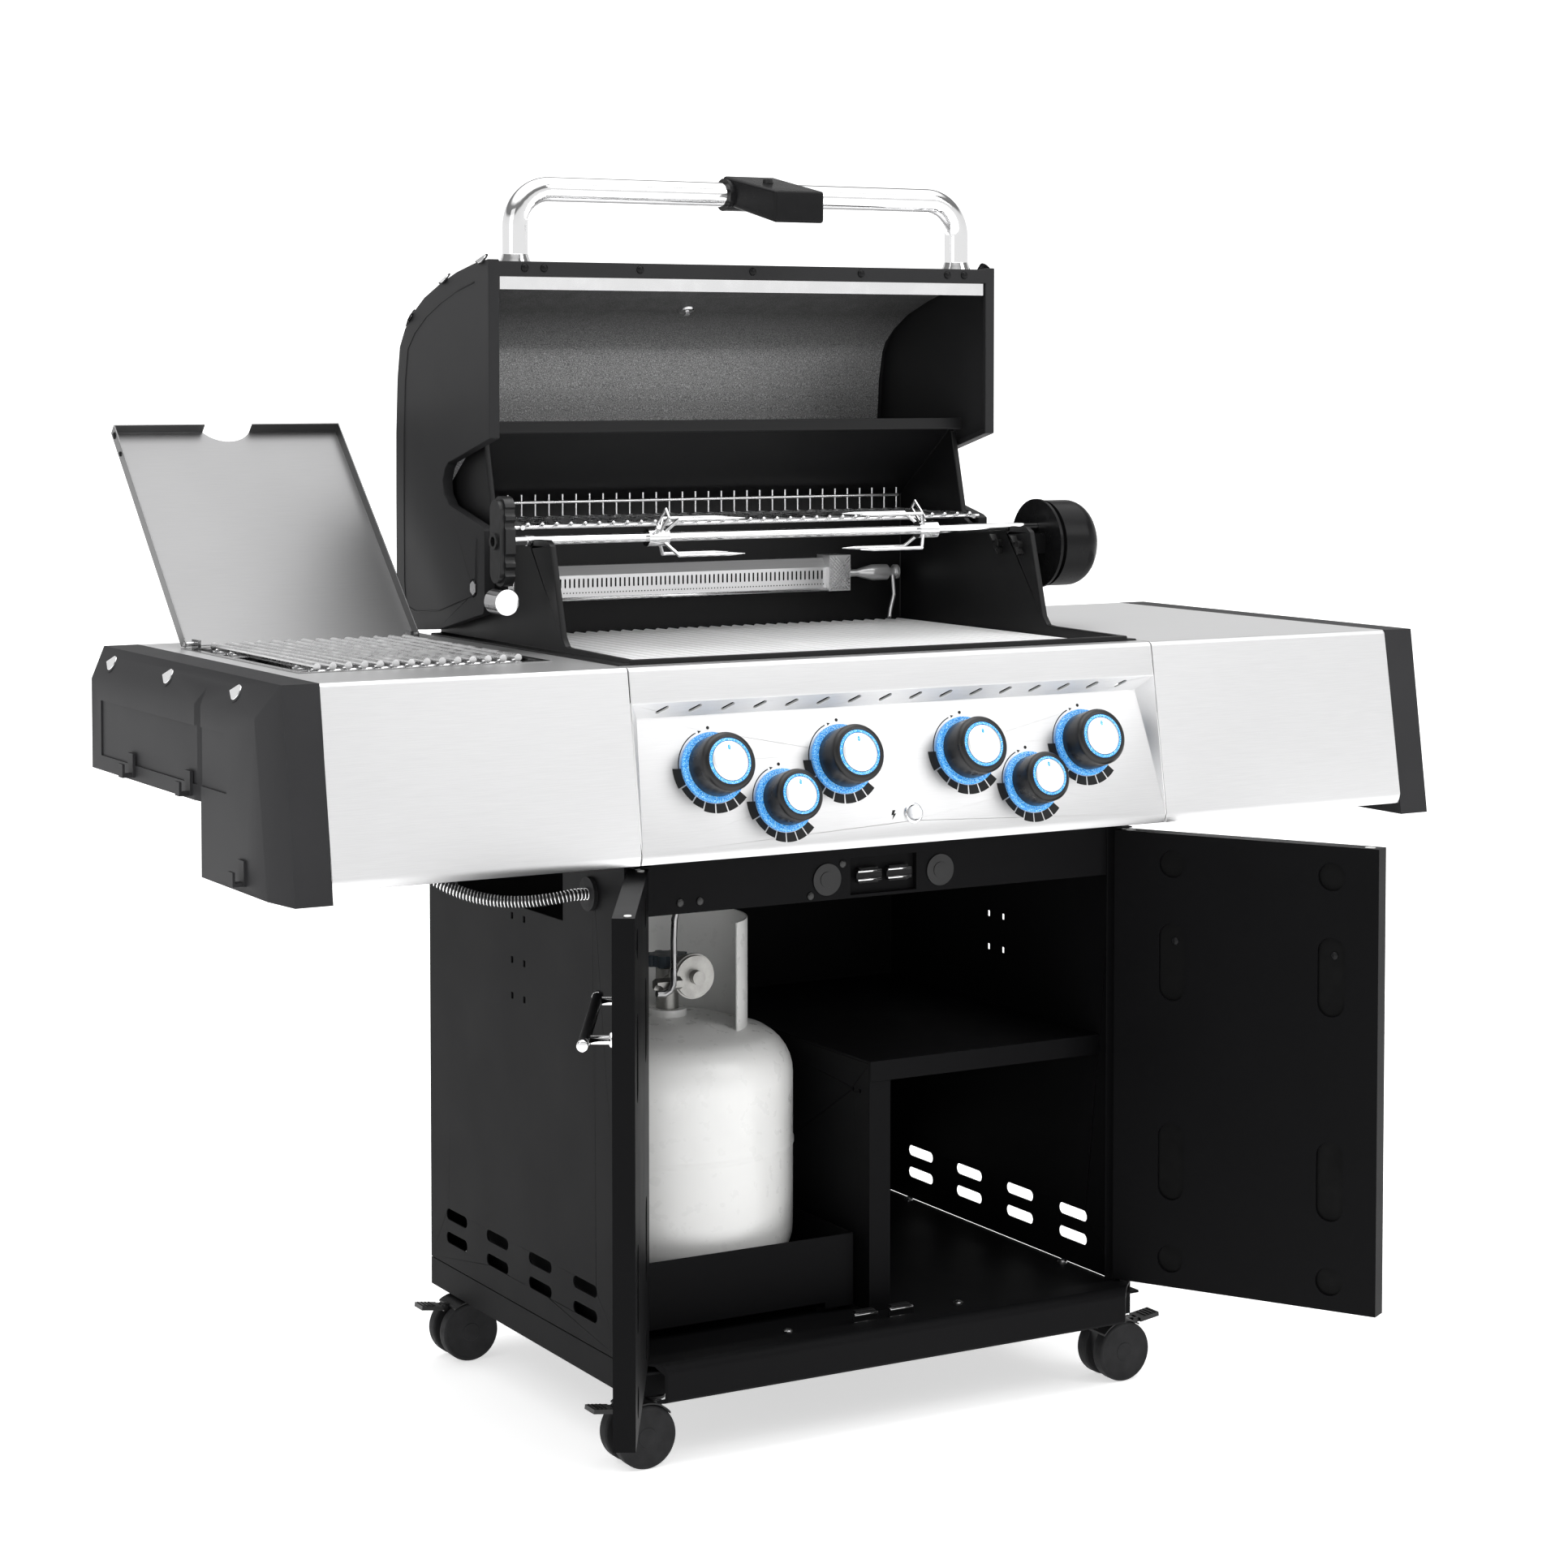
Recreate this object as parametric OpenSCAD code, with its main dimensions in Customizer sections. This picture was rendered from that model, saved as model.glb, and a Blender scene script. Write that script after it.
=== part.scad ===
// Gas barbecue grill on a closed cart, with its hood, side burner lid and doors open.
// Origin: on the floor, midway between the four casters. +X right, +Y back, +Z up.
// Inside from_front() the Y value is counted from the top front edge of the fascia.

/* [Cart] */
// Height of the work surface above the floor
deck_h = 921; // [900:1:940]
// Width over the two cabinet side panels
cabinet_w = 696; // [690:1:700]
// Y of the cabinet's back face
cabinet_back = 584; // [580:1:590]
// Thickness of the cabinet's sheet steel
sheet = 2; // [1.5:0.5:3]
// Diameter of a caster wheel
wheel_d = 74; // [70:1:75]
// Distance from a caster's stem to its axle
caster_trail = 22; // [16:1:24]

/* [Doors] */
// Height of a door
door_h = 561; // [550:1:561]
// Thickness of a door
door_t = 24; // [20:1:26]
// Angle at which both doors stand open
door_open = 120; // [0:1:120]

/* [Work surface] */
// Width of the control panel
panel_w = 722; // [716:1:728]
// Width of one stainless side shelf
shelf_w = 371; // [360:1:380]
// Width of one moulded end cap
cap_w = 61; // [50:1:70]
// Spacing of neighbouring control knobs
knob_pitch = 85.5; // [84:0.5:86]

/* [Cook box] */
// Half width over the cook box walls
box_x = 346; // [344:1:347]
// Thickness of the cast walls
wall = 8; // [6:1:9]
// Diameter of a cooking grate rod
grate_rod = 8; // [6:0.5:9]
// Number of rods in each half of the cooking grate
grate_rods = 20; // [12:1:22]

/* [Hood] */
// Half width over the hood's cast end caps
hood_x = 366; // [364:1:368]
// Angle at which the hood stands open
hood_open = 90; // [0:1:90]
// Diameter of the handle tube
handle_d = 31; // [24:1:34]

/* [Side burner] */
// Angle at which the side burner's lid stands open
side_lid_open = 135; // [0:1:135]
// Number of rods in the side burner's grate
side_rods = 14; // [8:1:15]

/* [Gas tank] */
// Diameter of the tank
tank_d = 310; // [300:1:312]
// Height of the tank with its collar
tank_h = 452; // [440:1:460]

/* [Hidden] */
$fn = 48;

front_y = -276;
half_cabinet = cabinet_w / 2;
half_panel = panel_w / 2;
shelf_end = half_panel + shelf_w;
cap_end = shelf_end + cap_w;
seam = 1.5;
run_fit = 0.05;

// Base and cabinet heights
floor_z = 115;
beam_top = 124;
beam_low = 79;
beam_front = -12;
skirt_low = 80;
panel_low = 116;
panel_high = 771;

// Doors
hinge_x = half_cabinet - 10;
hinge_y = 24;
door_low = beam_top + 3;
door_w = hinge_x - 2;
door_heel = 6;
door_skin = 1.5;
door_pin_r = 3;
ear_z = door_low + door_h + 2;
stamp_r = 17;
stamp_depth = 4;
stamp_near = 71;
stamp_far = 277;
pull_z = 552;
pull_r = 6.25;
pull_len = 282;
pull_gap = 31;
pull_posts = 216;

// Fascia line of the shelves and the control panel, as offsets from the deck
fascia_foot_y = -33;
fascia_foot = -208;
fascia_low = -220;
bend_r = 6;
band_foot_y = -6.7;
band_foot = -41;
recess_y = 12;
recess_top = -59;
recess_in = 16;
recess_lean = atan2(recess_top - fascia_foot, recess_y - fascia_foot_y);
row_big = 62;
row_small = 105.3;
row_igniter = 131.4;

// Hood pivot, from the fascia edge and the deck
pivot_y = 406;
pivot_up = 67;
pivot_r = 5;

// Spit
spit_y = 285;
spit_up = 130;
spit_r = 5.5;
grip_x = 374;
grip_len = 108;
grip_w = 36;

// Side burner
burner_x = -555;
burner_y = 304;
side_hinge_y = 490;
side_hinge_up = 6;
side_lid_w = 304;
side_lid_len = 362;

// Tank
tank_x = -162;
tank_y = 285;
tank_z = 131;

// Casters
wheel_r = wheel_d / 2;
stem_x = 312;
stem_front = 35;
stem_back = 517;
stem_r = 5;

// Routes of the two hoses, which are held at both ends
supply_route = [
    [-236, 172, 512], [-226, 172, 511], [-218, 172, 514], [-213.5, 172, 521], [-213, 172, 532],
    [-213, 172, 550], [-213, 172, 575], [-213, 170, 600], [-211, 162, 625], [-206, 146, 650],
    [-200, 124, 675], [-196, 100, 700], [-195, 80, 722], [-195, 66, 740], [-195, 60, 749]
];
guard_route = [
    [-555, 300, 868], [-555, 296, 840], [-553, 288, 800], [-548, 276, 760], [-538, 262, 722],
    [-522, 246, 690], [-500, 228, 664], [-474, 205, 648], [-446, 178, 640], [-418, 153, 640],
    [-392, 134, 644], [-368, 125, 648], [-345, 124, 648], [-322, 122, 651], [-302, 114, 662],
    [-288, 100, 682], [-280, 84, 706], [-276, 70, 730], [-275, 62, 748]
];

// ---------------------------------------------------------------- helpers

module from_front() translate([0, front_y, 0]) children();

// A plate or profile drawn in (y, z) and pulled along X from x0 to x1
module along_x(x0, x1) translate([x0, 0, 0]) rotate([90, 0, 90]) linear_extrude(x1 - x0) children();

// A plate drawn in (x, z) whose back face lies at y1
module along_y(y0, y1) translate([0, y1, 0]) rotate([90, 0, 0]) linear_extrude(y1 - y0) children();

module both_sides() {
    children();
    mirror([1, 0, 0]) children();
}

module box(low, high) translate(low) cube(high - low);

// A round bar between two points
module bar(a, b, r, r_end = -1) {
    v = b - a;
    translate(a)
        rotate([0, acos(v[2] / norm(v)), atan2(v[1], v[0])])
            cylinder(h = norm(v), r1 = r, r2 = r_end < 0 ? r : r_end);
}

// Bars through a list of points, with round corners
module wire(points, r) {
    for (i = [0 : len(points) - 2]) bar(points[i], points[i + 1], r);
    for (i = [1 : 1 : len(points) - 2]) translate(points[i]) sphere(r = r * 1.05);
}

// A slot with round ends, centred, its length along the first axis
module slot_2d(length, width) {
    straight = length - width;
    if (straight > 0) square([straight, width], center = true);
    for (side = straight > 0 ? [-1, 1] : [0]) translate([side * straight / 2, 0]) circle(d = width);
}

function arc(c, r, a0, a1, steps) =
    [for (i = [0 : steps]) c + r * [cos(a0 + (a1 - a0) * i / steps), sin(a0 + (a1 - a0) * i / steps)]];

function unit(v) = v / norm(v);

// Rings of a swept tube: one ring of points round each point of the route
function ring_at(route, i, r, sides) =
    let (
        ahead = route[min(i + 1, len(route) - 1)],
        behind = route[max(i - 1, 0)],
        along = unit(ahead - behind),
        across = unit(cross(along, [0.31, 0.93, 0.2])),
        up = cross(across, along)
    )
    [for (k = [0 : sides - 1]) route[i] + r * (cos(360 * k / sides) * across + sin(360 * k / sides) * up)];

module hose(route, r, sides) {
    n = len(route);
    points = [for (i = [0 : n - 1]) each ring_at(route, i, r, sides)];
    skin = [for (i = [0 : n - 2]) for (k = [0 : sides - 1])
        let (a = i * sides + k, b = i * sides + (k + 1) % sides) [a, b, b + sides, a + sides]];
    start = [for (k = [sides - 1 : -1 : 0]) k];
    finish = [for (k = [0 : sides - 1]) (n - 1) * sides + k];
    polyhedron(points = points, faces = concat(skin, [start, finish]), convexity = 6);
}

// ---------------------------------------------------------------- cart

module base_tray() color("#1b1b1c") from_front() {
    // The floor plate with its side skirts
    box([-half_cabinet, 0, floor_z - 3], [half_cabinet, cabinet_back, floor_z]);
    both_sides() box([half_cabinet - sheet, 30, skirt_low], [half_cabinet, cabinet_back, floor_z - 3]);
    box([-half_cabinet, cabinet_back - sheet, skirt_low], [half_cabinet, cabinet_back, floor_z - 3]);
    front_beam();
}

module front_beam() {
    corner = 35;
    end_x = half_cabinet + 5;
    back = 28;
    intersection() {
        along_x(-end_x, end_x) difference() {
            polygon(concat(
                arc([beam_front + 5, beam_low + 5], 5, 270, 180, 4),
                arc([beam_front + 12, beam_top - 12], 12, 180, 90, 6),
                [[back, beam_top], [back, beam_low]]
            ));
            polygon([
                [beam_front + 3, beam_low + 6], [beam_front + 3, beam_top - 13],
                [beam_front + 12, beam_top - 3], [back - 3, beam_top - 3],
                [back - 3, beam_low - 1], [beam_front + 10, beam_low - 1], [beam_front + 10, beam_low + 3]
            ]);
        }
        linear_extrude(beam_top + 1) polygon([
            [-end_x, back + 1], [-end_x, beam_front + corner], [corner - end_x, beam_front - 1],
            [end_x - corner, beam_front - 1], [end_x, beam_front + corner], [end_x, back + 1]
        ]);
    }
}

module vent_slots() {
    first = 141;
    pitch = 121;
    for (i = [0 : 3], z = [152, 182]) translate([first + i * pitch, z]) slot_2d(62, 14);
}

module side_panel(hose_hole) {
    front = 38;
    fold = 24;
    along_x(-half_cabinet, sheet - half_cabinet) difference() {
        translate([front, panel_low]) square([cabinet_back - front, panel_high - panel_low]);
        vent_slots();
        translate([197, 606]) square([300, 130]);
        if (hose_hole) translate([124, 648]) circle(r = 13);
        for (z = [490, 534, 588], y = [303, 337]) translate([y - 3, z]) square([6, 8]);
    }
    box([sheet - half_cabinet, front, panel_low], [fold - half_cabinet, front + sheet, panel_high]);
    // Hinge ear above the door
    box([sheet - half_cabinet, hinge_y - 8, ear_z], [fold - half_cabinet, front + 1, ear_z + sheet]);
    box([sheet - half_cabinet, cabinet_back - sheet, panel_low],
        [fold - half_cabinet, cabinet_back, panel_high]);
}

module cabinet_panels() color("#232324") from_front() {
    side_panel(true);
    mirror([1, 0, 0]) side_panel(false);
    // Back panel, with vents and a gap for the grease tray
    along_y(cabinet_back - 2 * sheet, cabinet_back - sheet) difference() {
        translate([sheet - half_cabinet, panel_low]) square([cabinet_w - 2 * sheet, panel_high - panel_low]);
        for (x = [-210 : 105 : 210], z = [160, 190]) translate([x, z]) slot_2d(70, 14);
        translate([-156, 726]) square([312, 50]);
    }
}

valance_front = 40;
valance_low = 630;
valance_high = 694;
pocket_x = [-46, 46];
pocket_z = [634, 678];

module front_valance() color("#161617") from_front() {
    end_x = half_cabinet - sheet - 1;
    difference() {
        union() {
            box([-end_x, valance_front, valance_low], [end_x, valance_front + sheet, valance_high]);
            box([-end_x, valance_front + sheet, valance_low],
                [end_x, valance_front + 22, valance_low + sheet]);
            box([pocket_x[0] - 2, valance_front, pocket_z[0] - 2],
                [pocket_x[1] + 2, valance_front + 10, pocket_z[1] + 2]);
        }
        box([pocket_x[0], valance_front - 1, pocket_z[0]], [pocket_x[1], valance_front + 8, pocket_z[1]]);
    }
}

// One roller catch body with its two pole plates, its front at y = 0
module catch() {
    box([-13, 0.6, -9], [13, 8.2, 9]);
    for (z = [-5, 5]) box([-16, -3, z - 1.5], [16, 5, z + 1.5]);
}

module door_catches() color("#2c2c2e") from_front() {
    for (x = [-21, 21]) translate([x, valance_front - 0.4, 656]) catch();
    for (x = [-25, 25]) translate([x, valance_front - 0.4, floor_z + 9]) catch();
    // Rubber stops on the valance
    for (x = [-79, 79]) translate([x, valance_front, 655]) rotate([90, 0, 0]) {
        cylinder(h = 2, r = 19);
        cylinder(h = 2.8, r = 9.5);
    }
}

divider_x = 8;
shelf_z = 421;
shelf_front = 83;

module cabinet_divider() color("#1d1d1e") from_front() {
    difference() {
        union() {
            box([divider_x, shelf_front + 2, floor_z], [divider_x + sheet, cabinet_back - 6, shelf_z - 3]);
            box([divider_x, shelf_front + 2, floor_z], [divider_x + 30, shelf_front + 4, shelf_z - 25]);
            box([divider_x, shelf_front + 2, floor_z], [divider_x + 20, cabinet_back - 6, floor_z + sheet]);
        }
        for (y = [0, 16]) translate([divider_x - 1, shelf_front + 24 + y, shelf_z - 40])
            rotate([0, 90, 0]) cylinder(h = 5, r = 2.5);
    }
}

module cabinet_shelf() color("#1d1d1e") from_front() {
    end_x = half_cabinet - sheet - 1;
    box([divider_x, shelf_front, shelf_z - 3], [end_x, cabinet_back - 6, shelf_z]);
    box([divider_x, shelf_front, shelf_z - 25], [end_x, shelf_front + sheet, shelf_z - 3]);
}

module tank_tray() color("#19191a") from_front() {
    low = [-332, 105, 121];
    high = [-2, 445, 209];
    difference() {
        box(low, high);
        box(low + [sheet, sheet, tank_z - low[2]], high + [-sheet, -sheet, 1]);
        // Clearance under the raised tray floor
        box(low + [40, -1, -1], [high[0] - 40, high[1] + 1, low[2] + 7]);
    }
    for (x = [-322, -48]) box([x, 115, floor_z], [x + 30, 435, low[2]]);
}

// ---------------------------------------------------------------- gas supply

module gas_tank() color("#f2f2f0") from_front() translate([tank_x, tank_y, tank_z]) {
    r = tank_d / 2;
    knee = 58;
    base = 22;
    top = tank_h - 122;
    difference() {
        union() {
            rotate_extrude($fn = 96) polygon(concat(
                [[0, base - 8]],
                arc([r - knee, base + 50], knee, 270, 360, 8),
                [[r, base + 150], [r + 1.2, base + 152], [r + 1.2, base + 157], [r, base + 159]],
                arc([r - knee, top - 70], knee, 0, 62, 6),
                [[70, top - 3], [24, top], [24, top + 9], [0, top + 9]]
            ));
            // Foot ring
            difference() {
                cylinder(h = base + 20, r = 104);
                translate([0, 0, -1]) cylinder(h = base + 30, r = 101);
            }
        }
    }
    collar(top);
}

module collar(top) {
    r_out = 99;
    r_in = 96.5;
    foot = top - 26;
    difference() {
        translate([0, 0, foot]) cylinder(h = tank_h - foot, r = r_out);
        translate([0, 0, foot - 1]) cylinder(h = tank_h, r = r_in);
        // The open front, where the valve faces out
        rotate([0, 0, -135]) translate([0, 0, foot - 1])
            linear_extrude(tank_h) polygon([[0, 0], [180, -52], [220, 60], [150, 220], [40, 170]]);
        // Hand holds
        for (a = [-12, 150]) rotate([0, 0, a]) box([80, -26, tank_h - 50], [120, 14, tank_h - 18]);
    }
}

reg_at = [-176, 192, 525];

module regulator() color("#b9b7b0") from_front() {
    valve_top = tank_z + tank_h - 122 + 9;
    // Tank valve: a stem with its body and side outlet
    translate([tank_x, tank_y, valve_top]) {
        cylinder(h = 50, r = 14);
        translate([0, 0, 50]) cylinder(h = 12, r = 6);
    }
    bar([tank_x, tank_y, valve_top + 30], [tank_x - 4, tank_y - 44, valve_top + 40], 11);
    // Coupling nut and round diaphragm housing, facing the doors
    bar([tank_x - 4, tank_y - 44, valve_top + 40], [reg_at[0], reg_at[1] + 16, reg_at[2]], 16);
    translate(reg_at) rotate([90, 0, 0]) {
        translate([0, 0, -18]) cylinder(h = 16, r = 24);
        translate([0, 0, -3]) cylinder(h = 5, r = 27.5, $fn = 64);
        translate([0, 0, 2]) cylinder(h = 4, r = 25.5, $fn = 64);
        translate([0, 0, 6]) cylinder(h = 10, r = 8.5);
    }
    // Hex fitting for the pigtail
    translate([-232, 184, 520]) rotate([0, 90, 0]) cylinder(h = 34, r = 8, $fn = 6);
    translate([-232, 178, 512]) sphere(r = 9);
}

module valve_wheel() color("#2d3b46") from_front() {
    at = [tank_x, tank_y, tank_z + tank_h - 122 + 9 + 50 + 3];
    translate(at) difference() {
        union() {
            cylinder(h = 14, r = 22);
            for (a = [0 : 45 : 315]) rotate([0, 0, a]) translate([22, 0, 0]) cylinder(h = 14, r = 5);
        }
        translate([0, 0, -1]) cylinder(h = 11, r = 6 + run_fit);
    }
}

module supply_hose() color("#9b9a96") from_front() hose(supply_route, 4, 10);

// ---------------------------------------------------------------- pins and fasteners

module hinge_pins() color("#a5a6a8") from_front() {
    both_sides() {
        translate([hinge_x, hinge_y, beam_top]) cylinder(h = 13, r = door_pin_r);
        translate([hinge_x, hinge_y, door_low + door_h - 10]) cylinder(h = 12, r = door_pin_r);
        // Hood pivot bolts, standing out of the cook box walls
        translate([box_x, pivot_y, deck_h + pivot_up]) rotate([0, 90, 0]) {
            cylinder(h = 20, r = pivot_r);
            translate([0, 0, 17]) cylinder(h = 4, r = 9, $fn = 6);
        }
    }
    // Side burner lid pins, in ears on the pan's back edge
    for (side = [-1, 1])
        translate([burner_x + side * (side_lid_w / 2 - 8), side_hinge_y, deck_h + side_hinge_up])
        rotate([0, 90, 0]) translate([0, 0, -8]) cylinder(h = 16, r = 2.5);
    // Caster stems, under the floor plate
    for (x = [-stem_x, stem_x], y = [stem_front, stem_back]) translate([x, y, 62])
        cylinder(h = floor_z - 3 - 62, r = stem_r);
}

module pan_head(r, h) {
    cylinder(h = h * 0.55, r = r);
    translate([0, 0, h * 0.55]) cylinder(h = h * 0.45, r1 = r, r2 = r * 0.6);
}

module wing_nut() {
    cylinder(h = 7, r = 6);
    for (a = [40, 220]) rotate([0, 0, a]) translate([4, -1.5, 2]) cube([11, 3, 9]);
}

module fasteners() color("#8f9092") from_front() {
    // Valance screws
    for (x = [-275, -249, -101, -57]) translate([x, valance_front, x < -200 ? 643 : (x == -101 ? 637 : 672)])
        rotate([90, 0, 0]) pan_head(4.5, 2.6);
    // Floor bolts
    for (x = [-337, 337], y = [150, 520]) translate([x, y, floor_z]) pan_head(6, 5);
    for (x = [-120, 120], y = [60, 560]) translate([x, y, floor_z]) pan_head(6, 4);
    // Wing nuts of the spit motor's bracket, inside the right wall
    for (y = [252, 300]) translate([box_x - wall, y, deck_h + 108]) rotate([0, -90, 0]) wing_nut();
    // Bolts in the pockets of the shelf end caps
    both_sides() for (y = cap_bolts)
        translate([shelf_end + 45, y, deck_h - 20]) rotate([0, 60, 0]) cylinder(h = 5, r = 5);
}

// ---------------------------------------------------------------- casters

caster_hub = 14;
wheel_w = 17.5;

// Everything of a caster is drawn about its stem, with the wheels trailing towards -X
module caster_at(x, y) from_front() translate([x, y, 0])
    if (x > 0) mirror([1, 0, 0]) children(); else children();

module caster_housing() {
    difference() {
        union() {
            translate([-caster_trail, 0, wheel_r]) rotate([90, 0, 0])
                translate([0, 0, -caster_hub / 2]) cylinder(h = caster_hub, r = wheel_r - 9);
            // Neck and swivel plate round the stem
            box([-caster_trail, -caster_hub / 2, wheel_r], [6, caster_hub / 2, 72]);
            translate([0, 0, wheel_d + 0.5]) cylinder(h = 3, r = 12);
            // Lug for the brake lever, between the wheels
            box([lever_x, -4, lever_z - 6], [-caster_trail, 4, lever_z + 3.4]);
            lever_axis(3.4, 8);
            // Hood over the top of both wheels
            intersection() {
                translate([-caster_trail, 0, wheel_r]) rotate([90, 0, 0]) difference() {
                    translate([0, 0, -25]) cylinder(h = 50, r = wheel_r + 2.5);
                    translate([0, 0, -26]) cylinder(h = 52, r = wheel_r + 0.8);
                }
                box([-caster_trail - 22, -30, wheel_r + 14], [8, 30, 90]);
            }
        }
        translate([-caster_trail, 0, wheel_r]) rotate([90, 0, 0])
            translate([0, 0, -15]) cylinder(h = 30, r = 4 + run_fit);
        lever_axis(lever_pin_r + run_fit, 20);
        translate([0, 0, 61]) cylinder(h = 30, r = stem_r + run_fit);
    }
}

module caster_wheels() translate([-caster_trail, 0, wheel_r]) rotate([90, 0, 0]) {
    for (side = [0, 1])
        mirror([0, 0, side]) translate([0, 0, caster_hub / 2 + 1]) rotate_extrude($fn = 72) polygon(concat(
        [[0, 0]],
        arc([wheel_r - 3, 3], 3, 270, 360, 3),
        arc([wheel_r - 3, wheel_w - 3], 3, 0, 90, 3),
        [[wheel_r - 6, wheel_w - 0.6], [11.5, wheel_w - 0.6], [11, wheel_w], [0, wheel_w]]
    ));
    translate([0, 0, -10]) cylinder(h = 20, r = 4);
}

lever_x = -caster_trail - 28;
lever_z = 68;
lever_pin_r = 2.2;

module lever_axis(r, length) translate([lever_x, 0, lever_z]) rotate([90, 0, 0])
    translate([0, 0, -length / 2]) cylinder(h = length, r = r);

module caster_lever() {
    lever_axis(lever_pin_r, 15);
    difference() {
        lever_axis(3.4, 17);
        lever_axis(6, 9);
    }
    translate([lever_x, 0, lever_z]) rotate([0, 8, 0]) {
        box([-8, -8.5, -2.6], [0, -4.6, 2.6]);
        box([-8, 4.6, -2.6], [0, 8.5, 2.6]);
        box([-34, -12, -2.6], [-6, 12, 2.6]);
        for (x = [-32 : 5 : -17]) box([x, -10, 2.6], [x + 2, 10, 3.6]);
    }
}

module caster_fl_housing() color("#242425") caster_at(-stem_x, stem_front) caster_housing();
module caster_fl_wheels() color("#333335") caster_at(-stem_x, stem_front) caster_wheels();
module caster_fl_lever() color("#1a1a1a") caster_at(-stem_x, stem_front) caster_lever();
module caster_fr_housing() color("#242425") caster_at(stem_x, stem_front) caster_housing();
module caster_fr_wheels() color("#333335") caster_at(stem_x, stem_front) caster_wheels();
module caster_fr_lever() color("#1a1a1a") caster_at(stem_x, stem_front) caster_lever();
module caster_rl_housing() color("#242425") caster_at(-stem_x, stem_back) caster_housing();
module caster_rl_wheels() color("#333335") caster_at(-stem_x, stem_back) caster_wheels();
module caster_rl_lever() color("#1a1a1a") caster_at(-stem_x, stem_back) caster_lever();
module caster_rr_housing() color("#242425") caster_at(stem_x, stem_back) caster_housing();
module caster_rr_wheels() color("#333335") caster_at(stem_x, stem_back) caster_wheels();
module caster_rr_lever() color("#1a1a1a") caster_at(stem_x, stem_back) caster_lever();

// ---------------------------------------------------------------- doors

// The left door about its hinge, closed: it reaches towards +X, its inner face at +Y
module door() {
    half = door_t / 2;
    stamps = [for (x = [stamp_near, stamp_far], z = [door_low + 35, door_low + door_h - 37]) [x, z]];
    channels = [for (x = [stamp_near, stamp_far], z = [283, 530]) [x, z]];
    difference() {
        union() {
            difference() {
                box([-door_heel, -half, door_low], [door_w, half, door_low + door_h]);
                box([door_skin - door_heel, door_skin - half, door_low - 1],
                    [door_w - door_skin, half - door_skin, door_low + door_h - 10]);
            }
            // Cups behind the stamped recesses, and a block for the lower pin
            for (p = stamps) stamp(p, stamp_r + door_skin, stamp_depth + door_skin, 0);
            for (p = channels) stamp(p, stamp_r + door_skin, stamp_depth + door_skin, 62);
            box([-door_heel, -half, door_low], [12, half, door_low + 14]);
        }
        for (p = stamps) stamp(p, stamp_r, stamp_depth, 0);
        for (p = channels) stamp(p, stamp_r, stamp_depth, 62);
        translate([0, 0, door_low - 1]) cylinder(h = 12, r = door_pin_r + run_fit);
        translate([0, 0, door_low + door_h - 11]) cylinder(h = 12, r = door_pin_r + run_fit);
    }
    pull();
}

// A round or long recess of the inner face, reaching in from it
module stamp(at, r, depth, length) {
    half = door_t / 2;
    over = r > stamp_r ? 0 : 1;
    translate([at[0], half + over, at[1]]) rotate([90, 0, 0]) linear_extrude(depth + over)
        rotate(90) slot_2d(length + 2 * r, 2 * r);
}

module pull() {
    half = door_t / 2;
    mid = (stamp_near + stamp_far) / 2 + 8;
    y = -half - pull_gap;
    bar([mid - pull_len / 2, y, pull_z], [mid + pull_len / 2, y, pull_z], pull_r);
    for (side = [-1, 1]) {
        x = mid + side * pull_posts / 2;
        bar([x, -half, pull_z], [x, y, pull_z], 4.5);
        bar([x, -half, pull_z], [x, -half - 3, pull_z], 8);
    }
}

module hung_left_door() from_front() translate([-hinge_x, hinge_y, 0]) rotate([0, 0, -door_open]) door();

module left_door() color("#1c1c1d") hung_left_door();
module right_door() color("#1c1c1d") mirror([1, 0, 0]) hung_left_door();

// ---------------------------------------------------------------- side shelves

// The bent sheet of a shelf: top, rounded front edge, sloping fascia, turned-in foot
module shelf_profile(back) translate([0, deck_h]) polygon(concat(
    [[back, 0]],
    arc([bend_r, -bend_r], bend_r, 90, 172, 4),
    [[fascia_foot_y, fascia_foot], [fascia_foot_y + 3, fascia_low], [14, fascia_low]],
    [[14, fascia_low + 2], [fascia_foot_y + 5, fascia_low + 2], [fascia_foot_y + 2.1, fascia_foot]],
    arc([bend_r, -bend_r], bend_r - 2, 172, 90, 4),
    [[back, -2]]
));

pan_low = [-704, 122];
pan_high = [-406, 482];

module side_shelves() color("#d9dadb") from_front() {
    back = cabinet_back - 2;
    difference() {
        along_x(-shelf_end, -half_panel - seam) shelf_profile(back);
        box([pan_low[0], pan_low[1], deck_h - 10], [pan_high[0], pan_high[1], deck_h + 1]);
    }
    along_x(half_panel + seam, shelf_end) shelf_profile(back);
    // Brackets that carry the shelves from the cabinet
    both_sides() {
        for (y = [70, 540]) {
            box([half_cabinet, y, deck_h - 150], [half_cabinet + 3, y + 30, deck_h - 8]);
            box([half_cabinet, y, deck_h - 30], [shelf_end, y + 2, deck_h - 8]);
            box([half_panel + 3, y, deck_h - 9], [shelf_end, y + 2, deck_h - 2]);
        }
    }
}

cap_step = 186;
cap_floor = -150;
cap_foot = -234;
cap_bolts = [113, 331, 530];

// Block of an end cap: a profile in (y, z) with its outer face drawn in and bevelled
module cap_block(y0, y1, z0, lean, inset) {
    bevel = 17;
    hull() {
        along_x(shelf_end + inset[0], cap_end - 18 - inset[1])
            polygon([[y1, z0], [y1, -inset[1]], [y0, -inset[1]], [y0 - lean, z0]]);
        along_x(cap_end - 2 - inset[1], cap_end - inset[1])
            polygon([
                [y1 - 6, z0 + 4], [y1 - 6, -38 - inset[1]],
                [y0 + 2 * bevel, -38 - inset[1]], [y0 + 2 * bevel - lean, z0 + 4]
            ]);
    }
}

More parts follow.
